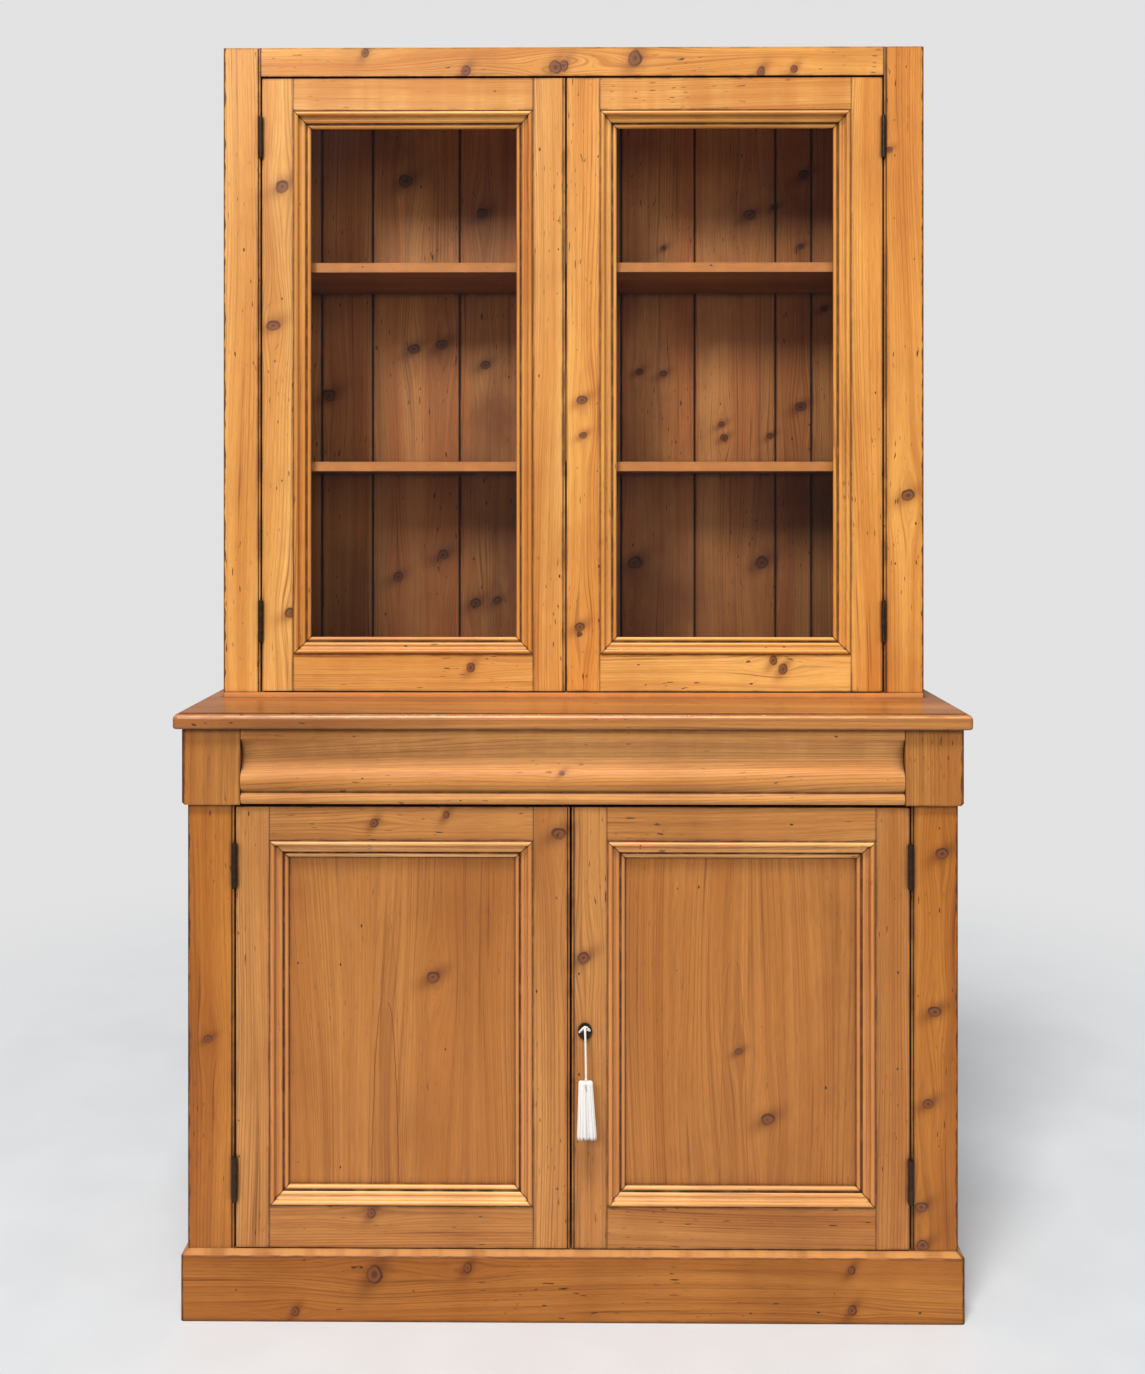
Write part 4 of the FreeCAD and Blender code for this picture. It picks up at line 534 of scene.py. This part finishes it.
# The back boards get painted shade deep inside and towards the bottom.
dark_back = pine(
    "umber_back_boards", *BOARD, age=0.85, deep_shade=0.42, shade_below=(1.0, 1.45, 0.4),
    boards=[-0.571 + n for n in (0.0945, 0.1905, 0.3545, 0.5185, 0.659, 0.7975, 0.9495, 1.017)],
    knots=spots(BACK_FACE, [
        (-0.317, 1.888, 0.012), (-0.172, 1.826, 0.010), (-0.302, 1.571, 0.010), (-0.249, 1.579, 0.010),
        (-0.168, 1.541, 0.008), (-0.464, 1.483, 0.012), (-0.247, 1.182, 0.010), (-0.332, 1.141, 0.009),
        (-0.185, 1.092, 0.010), (-0.145, 1.096, 0.008), (0.115, 1.168, 0.012), (0.354, 1.169, 0.012),
        (0.330, 1.823, 0.010), (0.433, 1.898, 0.009), (0.377, 1.837, 0.006), (0.169, 1.761, 0.005),
        (0.427, 1.763, 0.005), (0.122, 1.528, 0.007), (0.169, 1.524, 0.006), (0.278, 1.428, 0.006),
        (0.283, 1.403, 0.006), (0.370, 1.407, 0.006), (0.427, 1.462, 0.009), (0.471, 1.646, 0.006),
    ]),
)
inner_wood = pine("tan_beads", *TAN, grime_and_shade=0.35, near=0.006)
# The shelves' front edge is a painted highlight, lighter than their faces.
shelf_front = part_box("upper_shelves")[0][1]
shelf_wood = pine(
    "umber_shelves", *SHELF, run="level", gloss=0.38, lit_front=(shelf_front + 0.0015, tone(242, 156, 84)), wear_and_shade=0.2,
    grime_and_shade=0.5,
)
raw_level = pine("bare_pine_level", *RAW, run="level", gloss=0.6)
raw_upright = pine("bare_pine_upright", *RAW, gloss=0.6)
raw_deep = pine("bare_pine_deep", *RAW, run="deep", gloss=0.6)
bronze = old_iron("blackened_bronze", tone(52, 42, 34), tone(74, 50, 34), 0.32)
key_iron = old_iron("key_iron", tone(70, 62, 54), tone(80, 54, 38), 0.28)
pane = glazing()
thread = cotton("white_cotton", tone(214, 209, 200), tone(246, 244, 240), tone(148, 140, 130))
linen = cotton("brown_linen", tone(96, 66, 48), tone(128, 92, 68), tone(50, 32, 24))


def moulding_finish(door, tones, shaded, grime_and_shade):
    """A door's moulding: the grain runs along each of its four mitred lengths, and its upright lengths get painted
    shade.
    """
    low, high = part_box(door + "_moulding")
    return pine(
        door + "_moulding_wax", *tones, mitres=(low[0], high[0], low[2], high[2]), gloss=0.36, coat=0.12,
        marks=0.15, near=0.007, grime_and_shade=grime_and_shade, wear_and_shade=0.0, shaded=shaded,
    )


FINISHES = {
    left_upright: "left_frame_stile upper_left_door_stiles upper_left_side",
    right_upright: "right_frame_stile upper_right_door_stiles upper_right_side",
    upper_level: "upper_left_door_rails upper_right_door_rails",
    top_rail: "upper_top_rail upper_top_board",
    lower_upright: "lower_left_door_stiles lower_right_door_stiles",
    lower_level: "lower_left_door_rails lower_right_door_rails",
    lower_panel: "lower_left_door_panel lower_right_door_panel",
    case_upright: "left_pilaster right_pilaster lower_left_side lower_right_side",
    block_upright: "left_frieze_block right_frieze_block",
    case_level: "plinth_boards drawer_rail",
    drawer_face: "drawer_front",
    top_wax: "worktop",
    dark_back: "upper_back_boards",
    inner_wood: "upper_left_door_glazing_beads upper_right_door_glazing_beads door_stops",
    shelf_wood: "upper_shelves upper_floor shelf_battens",
    raw_level: "lower_floor lower_shelf drawer_back drawer_bottom",
    raw_upright: "lower_back_boards",
    raw_deep: "drawer_sides drawer_runners",
    bronze: "frame_hinge_leaves hinge_pins upper_left_door_hinge_leaves upper_right_door_hinge_leaves "
            "lower_left_door_hinge_leaves lower_right_door_hinge_leaves escutcheon lock_case lock_bolt "
            "door_bolt_plate door_bolt",
    key_iron: "key",
    pane: "upper_left_door_glass upper_right_door_glass",
    moulding_finish("upper_left_door", AMBER, 0.15, 0.95): "upper_left_door_moulding",
    moulding_finish("upper_right_door", AMBER, 0.15, 0.95): "upper_right_door_moulding",
    moulding_finish("lower_left_door", BRIGHT, 0.6, 1.0): "lower_left_door_moulding",
    moulding_finish("lower_right_door", BRIGHT, 0.6, 1.0): "lower_right_door_moulding",
    thread: "tassel tassel_cord",
}
for finish, names in FINISHES.items():
    for name in names.split():
        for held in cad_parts[name].material_slots:
            held.material = finish
bare = [name for name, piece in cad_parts.items() if name not in " ".join(FINISHES.values()).split()]
if bare:
    raise SystemExit("no finish for " + ", ".join(bare))


def put(name, points, faces, finish, body, uv=None, smooth=True):
    """A piece from its points and faces, with its finish, riding on its body."""
    mesh = bpy.data.meshes.new(name)
    mesh.from_pydata(points.reshape(-1, 3).tolist(), [], faces.tolist())
    mesh.update()
    if smooth:
        mesh.polygons.foreach_set("use_smooth", np.ones(len(mesh.polygons), dtype=bool))
    if uv is not None:
        corners = np.zeros(len(mesh.loops), dtype=np.int32)
        mesh.loops.foreach_get("vertex_index", corners)
        mesh.uv_layers.new(name="along").data.foreach_set("uv", uv.reshape(-1, 2)[corners].ravel())
    mesh.materials.append(finish)
    piece = bpy.data.objects.new(name, mesh)
    bpy.context.collection.objects.link(piece)
    if body:
        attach(piece, body)
    return piece


def grid_faces(rings, round_):
    """Four-cornered faces of a grid of rings by round_ points, closed the short way round."""
    ring, step = np.meshgrid(np.arange(rings - 1), np.arange(round_), indexing="ij")
    after = (step + 1) % round_
    here, beyond = ring * round_, (ring + 1) * round_
    return np.stack([here + step, here + after, beyond + after, beyond + step], -1).reshape(-1, 4)


def square_to(paths):
    """Two directions n and b square to each path, an array (..., step, 3): b = path x fixed direction, n = b x path."""
    along = np.gradient(paths, axis=-2)
    along /= np.linalg.norm(along, axis=-1, keepdims=True)
    b = np.cross(along, np.array([0.31, 0.93, 0.19]))
    b /= np.linalg.norm(b, axis=-1, keepdims=True)
    return np.cross(b, along), b


def tubes(paths, radii, sides=6):
    """Round tubes along paths, an array (tube, step, 3). Each ring is centre + r (n cos a + b sin a), where n and b
    are square to the path. The ends draw in to a point."""
    n, b = square_to(paths)
    angle = np.linspace(0, 2 * np.pi, sides, endpoint=False)
    steps = paths.shape[1]
    close = np.ones(steps)
    close[[0, -1]] = 0.05
    r = (np.asarray(radii).reshape(-1, 1) * close)[..., None, None]
    wide, deep = np.cos(angle)[:, None], np.sin(angle)[:, None]
    points = paths[:, :, None, :] + r * (n[:, :, None] * wide + b[:, :, None] * deep)
    one = grid_faces(steps, sides)[:, ::-1]
    faces = (one[None] + (np.arange(len(paths)) * steps * sides)[:, None, None]).reshape(-1, 4)
    run = np.concatenate([np.zeros((len(paths), 1)), np.linalg.norm(np.diff(paths, axis=1), axis=2).cumsum(1)], 1)
    uv = np.stack(np.broadcast_arrays(run[:, :, None], (angle / (2 * np.pi))[None, None]), -1)
    return points, faces, uv


# The cord from the key's bow to the tassel, and the loop that hitches it round the bow.
ROUTE = [(0.0203, -0.2334, 0.4673), (0.0204, -0.2394, 0.4645), (0.0206, -0.2419, 0.4573), (0.0209, -0.2424, 0.4453),
         (0.0213, -0.2426, 0.4233), (0.0219, -0.2428, 0.3873)]
line = bpy.data.curves.new("cord_line", "CURVE")
line.dimensions = "3D"
spline = line.splines.new("NURBS")
spline.points.add(len(ROUTE) - 1)
for point, where in zip(spline.points, ROUTE):
    point.co = (*where, 1.0)
spline.order_u = 3
spline.use_endpoint_u = True
spline.resolution_u = 32
carrier = bpy.data.objects.new("cord_line", line)
bpy.context.collection.objects.link(carrier)
bpy.context.view_layer.update()
lain = bpy.data.meshes.new_from_object(carrier)
middle = np.zeros(len(lain.vertices) * 3)
lain.vertices.foreach_get("co", middle)
middle = middle.reshape(-1, 3)
gone = np.concatenate([[0.0], np.linalg.norm(np.diff(middle, axis=0), axis=1).cumsum()])
evenly = np.linspace(0, gone[-1], 150)
middle = np.stack([np.interp(evenly, gone, middle[:, axis]) for axis in range(3)], -1)
bpy.data.objects.remove(carrier)
bpy.data.meshes.remove(lain)


def twisted(path, strands, turns, offset, radius):
    """Strands laid round a path: strand k is path + offset (n cos a + b sin a), a = 2 pi (turns s + k / strands)."""
    n, b = square_to(path)
    s = np.linspace(0, 1, len(path))
    angle = 2 * np.pi * (turns * s + np.arange(strands)[:, None] / strands)[..., None]
    return tubes(path + offset * (n * np.cos(angle) + b * np.sin(angle)), np.full(strands, radius), 8)


points, faces, uv = twisted(middle, 3, 9, 0.0008, 0.00088)
cord = put("tassel_cord_strands", points, faces, thread, "tassel", uv)
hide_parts("tassel_cord")

# The loop goes over the top of the bow like a tent and back through it: a closed line through the middles of its
# corners' sides, rounded as m (1 - t) ** 2 + 2 c t (1 - t) + n t ** 2, with a corner c and m, n the middles beside it.
BOW_MIDDLE = np.array([0.0203, -0.230, 0.4533])
corners = BOW_MIDDLE + 0.001 * np.array(
    [(0.3, -6.0, 16.6), (-11.2, -3.0, 2.4), (-3.0, 2.0, 7.2), (3.0, 2.0, 7.2), (9.3, -2.5, 5.8)])
before, after = (np.roll(corners, 1, 0) + corners) / 2, (np.roll(corners, -1, 0) + corners) / 2
t = np.linspace(0, 1, 16, endpoint=False)[None, :, None]
loop = (before[:, None] * (1 - t) ** 2 + 2 * corners[:, None] * t * (1 - t) + after[:, None] * t ** 2).reshape(-1, 3)
loop = np.concatenate([loop, loop[:1]])
points, faces, uv = twisted(loop, 2, 9, 0.0006, 0.00085)
hitch = put("tassel_loop", points, faces, thread, "tassel", uv)


def coil(centre, radius, turns, pitch, thick, name):
    """A whipping: x, y = centre + radius (cos a, sin a) and z falls by pitch each turn."""
    a = np.linspace(0, 2 * np.pi * turns, int(24 * turns))
    path = np.array(centre) + np.stack([radius * np.cos(a), radius * np.sin(a), -pitch * a / (2 * np.pi)], -1)
    points, faces, uv = tubes(path[None], [thick], 8)
    piece = put(name, points, faces, thread, "tassel", uv)
    return piece


knot = coil((0.0204, -0.2376, 0.4660), 0.0010, 1.5, 0.0012, 0.0005, "tassel_hitch_turns")
neck = coil((0.0219, -0.2428, 0.3889), 0.0013, 1.5, 0.0014, 0.0008, "tassel_neck_turns")

# The tassel's axis in x and y, its top and foot in z, and half its number of plies.
AXIS, TOP, FOOT, PLIES = np.array([0.0212, -0.2428]), 0.3868, 0.2958, 7


def skirt(angle, fall, depth):
    """Where a thread lies: fall 0 at the top's middle, 1 at its foot. Its distance from the axis rises over a tight
    shoulder, (1 - (1 - fall / 0.05) ** 4) ** 0.25, then widens to its foot, half as deep as wide. The threads lie in
    plies, so the form is ribbed by |sin(7 angle)| ** 0.6, each ply is rounded at its foot, and the foot drifts to
    the right. A short parting runs down the front below the top."""
    shoulder = np.clip(1 - (1 - np.clip(fall / 0.05, 0, 1)) ** 4, 0, 1) ** 0.25
    rib = np.abs(np.sin(PLIES * angle + 0.35 * np.sin(2 * angle) + 0.2)) ** 0.6
    reach = 0.0008 + (0.0093 + 0.0042 * fall ** 1.15 + (0.0014 + 0.0018 * fall) * (rib - 0.75)) * shoulder * depth
    wide, deep = np.cos(angle), np.sin(angle)
    x = AXIS[0] + reach * np.sign(wide) * np.abs(wide) ** 0.8 + 0.0020 * fall
    y = AXIS[1] + reach * deep * 0.56
    parting = np.exp(-((angle - 1.5 * np.pi) / 0.09) ** 2) * np.clip(1 - np.abs(fall - 0.11) / 0.08, 0, 1)
    y = y + 0.0012 * parting
    ragged = 0.0036 * (1 - rib) + 0.0004 * np.sin(37 * angle + 2) + 0.0006 * np.sin(3 * angle)
    z = TOP - 0.0004 - 0.0012 * shoulder * (depth > 0.9) - (TOP - FOOT - 0.0018) * np.clip((fall - 0.02) / 0.98, 0, 1)
    z = z - 0.0024 * shoulder * np.clip(deep, 0, 1) * (1 - fall)
    return np.stack([x, y, z + ragged * np.clip(fall, 0, 1) ** 6], -1)


# Two layers of threads, each (how many, depth of the form, turn).
THREAD = 0.0006
fall = np.concatenate([np.linspace(0, 0.05, 8), np.linspace(0.08, 1, 15)])
sets = []
for count, depth, turn in ((88, 1.0, 0.0), (66, 0.86, 0.03)):
    start = np.linspace(0, 2 * np.pi, count, endpoint=False) + turn
    angle = start[:, None] + 0.05 * np.sin(3 * start + 1)[:, None] * fall
    sets.append(tubes(skirt(angle, fall[None], depth), np.full(count, THREAD)))
offset = np.cumsum([0] + [s[0].reshape(-1, 3).shape[0] for s in sets[:-1]])
points = np.concatenate([s[0].reshape(-1, 3) for s in sets])
faces = np.concatenate([s[1] + o for s, o in zip(sets, offset)])
uv = np.concatenate([s[2].reshape(-1, 2) for s in sets])
threads = put("tassel_threads", points, faces, thread, "tassel", uv)
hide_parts("tassel")

# The heart of the tassel, behind the threads: the same form at 0.8 of its depth, closed below.
rings, round_ = 22, 40
angle, level = np.meshgrid(np.linspace(0, 2 * np.pi, round_, endpoint=False), np.linspace(0, 0.97, rings))
shell = skirt(angle, level, 0.8)
below = shell[-1].mean(0)
heart = np.concatenate([shell, below + 0.02 * (shell[-1:] - below)])
uv = np.stack(np.meshgrid(np.linspace(0, 0.1, rings + 1), np.linspace(0, 1, round_), indexing="ij"), -1)
core = put("tassel_heart", heart, grid_faces(rings + 1, round_)[:, ::-1], thread, "tassel", uv)
# Three small stitches in brown linen close the top of the tassel in front.
top = np.array([0.0217, -0.2493, 0.3812])[None] + np.array([0.0002, -0.0001, -0.0033]) * np.arange(3)[:, None]
run = np.linspace(0, 1, 7)[None, :, None]
stitch = top[:, None] + run * np.array([0.0003, -0.0001, -0.0024]) - np.sin(np.pi * run) * np.array([0.0, 0.0004, 0.0])
points, faces, uv = tubes(stitch, np.full(3, 0.0005), 8)
stitches = put("tassel_stitches", points, faces, linen, "tassel", uv)


def ground():
    """A pale floor: colour from faint noise, thinning out to the pale room far from the dresser."""
    work = Finish("pale_floor")
    place = work.step("ShaderNodeTexCoord").outputs["Object"]
    x, y, z = work.step("ShaderNodeSeparateXYZ", {0: place}).outputs
    fine = work.solid_cloud(place, (6.0, 6.0, 6.0), 4.0, 0.5)
    shade = work.blend(work.ramp(fine, 0.3, 0.7), (0.58, 0.592, 0.60, 1.0), (0.60, 0.612, 0.62, 1.0))
    rough = work.ramp(fine, 0.3, 0.7, 0.55, 0.65)
    solid = work.step("ShaderNodeBsdfPrincipled", {"Base Color": shade, "Roughness": rough}).outputs[0]
    open_ = work.step("ShaderNodeBsdfTransparent").outputs[0]
    away = work.sum("SQRT", work.plus(work.times(x, x), work.times(y, y)))
    return work.close(work.step("ShaderNodeMixShader", {0: work.ramp(away, 0.95, 2.7), 1: solid, 2: open_}).outputs[0])


# The floor: rings of radius r, flat at z 0.
rings, round_ = 16, 64
turn = np.linspace(0, 2 * np.pi, round_, endpoint=False)
radius, angle = np.meshgrid(np.linspace(0.001, 6.0, rings), turn, indexing="ij")
points = np.stack([radius * np.cos(angle), radius * np.sin(angle), np.zeros_like(radius)], -1)
put("floor", points, grid_faces(rings, round_)[:, ::-1], ground(), None)

room = bpy.data.worlds.new("pale_room")
room.use_nodes = True
bpy.context.scene.world = room
# The room is seen pale and lights the dresser more dimly, so that the lamps give it its shape.
air = Finish("room", room.node_tree)
room.node_tree.nodes.clear()
seen = air.step("ShaderNodeBackground", {"Color": (0.765, 0.765, 0.77, 1.0), "Strength": 1.0}).outputs[0]
felt = air.step("ShaderNodeBackground", {"Color": (0.92, 0.95, 1.0, 1.0), "Strength": 0.3}).outputs[0]
sight = air.step("ShaderNodeLightPath").outputs["Is Camera Ray"]
air.step("ShaderNodeOutputWorld", {"Surface": air.step("ShaderNodeMixShader", {0: sight, 1: felt, 2: seen}).outputs[0]})


def lamp(name, where, at, wide, tall, power, colour=(1.0, 1.0, 1.0), glint=True):
    """A soft rectangular studio light aimed at a point."""
    light = bpy.data.lights.new(name, "AREA")
    light.shape, light.size, light.size_y, light.energy, light.color = "RECTANGLE", wide, tall, power, colour
    held = bpy.data.objects.new(name, light)
    bpy.context.collection.objects.link(held)
    held.visible_glossy = glint
    x, y, z = (t - w for t, w in zip(at, where))
    held.location = where
    held.rotation_euler = (math.atan2(math.hypot(x, y), -z), 0.0, math.atan2(y, x) - math.pi / 2)


lamp("key_light", (-3.8, -10.6, 7.2), (0.0, 0.0, 1.0), 3.4, 3.4, 790, (1.0, 0.99, 0.975))
lamp("fill_light", (5.4, -10.4, 3.4), (0.0, 0.0, 0.9), 6.0, 4.4, 195, glint=False)
lamp("top_light", (-0.8, -4.8, 12.0), (0.0, -0.1, 0.9), 4.4, 2.0, 1450)

# The photograph's camera: level, 2.4 m in front and 1.29 m up, with its lens shifted down.
lens = bpy.data.cameras.new("camera")
lens.lens, lens.sensor_width, lens.sensor_fit = 36.77, 36.0, "AUTO"
lens.shift_y = -0.1384
lens.clip_start, lens.clip_end = 0.05, 60
camera = bpy.data.objects.new("camera", lens)
bpy.context.collection.objects.link(camera)
camera.location = (0.0189, -2.4191, 1.2921)
camera.rotation_euler = (math.radians(90), 0.0, math.radians(0.474))
bpy.context.scene.camera = camera
bpy.context.scene.view_settings.view_transform = "Standard"
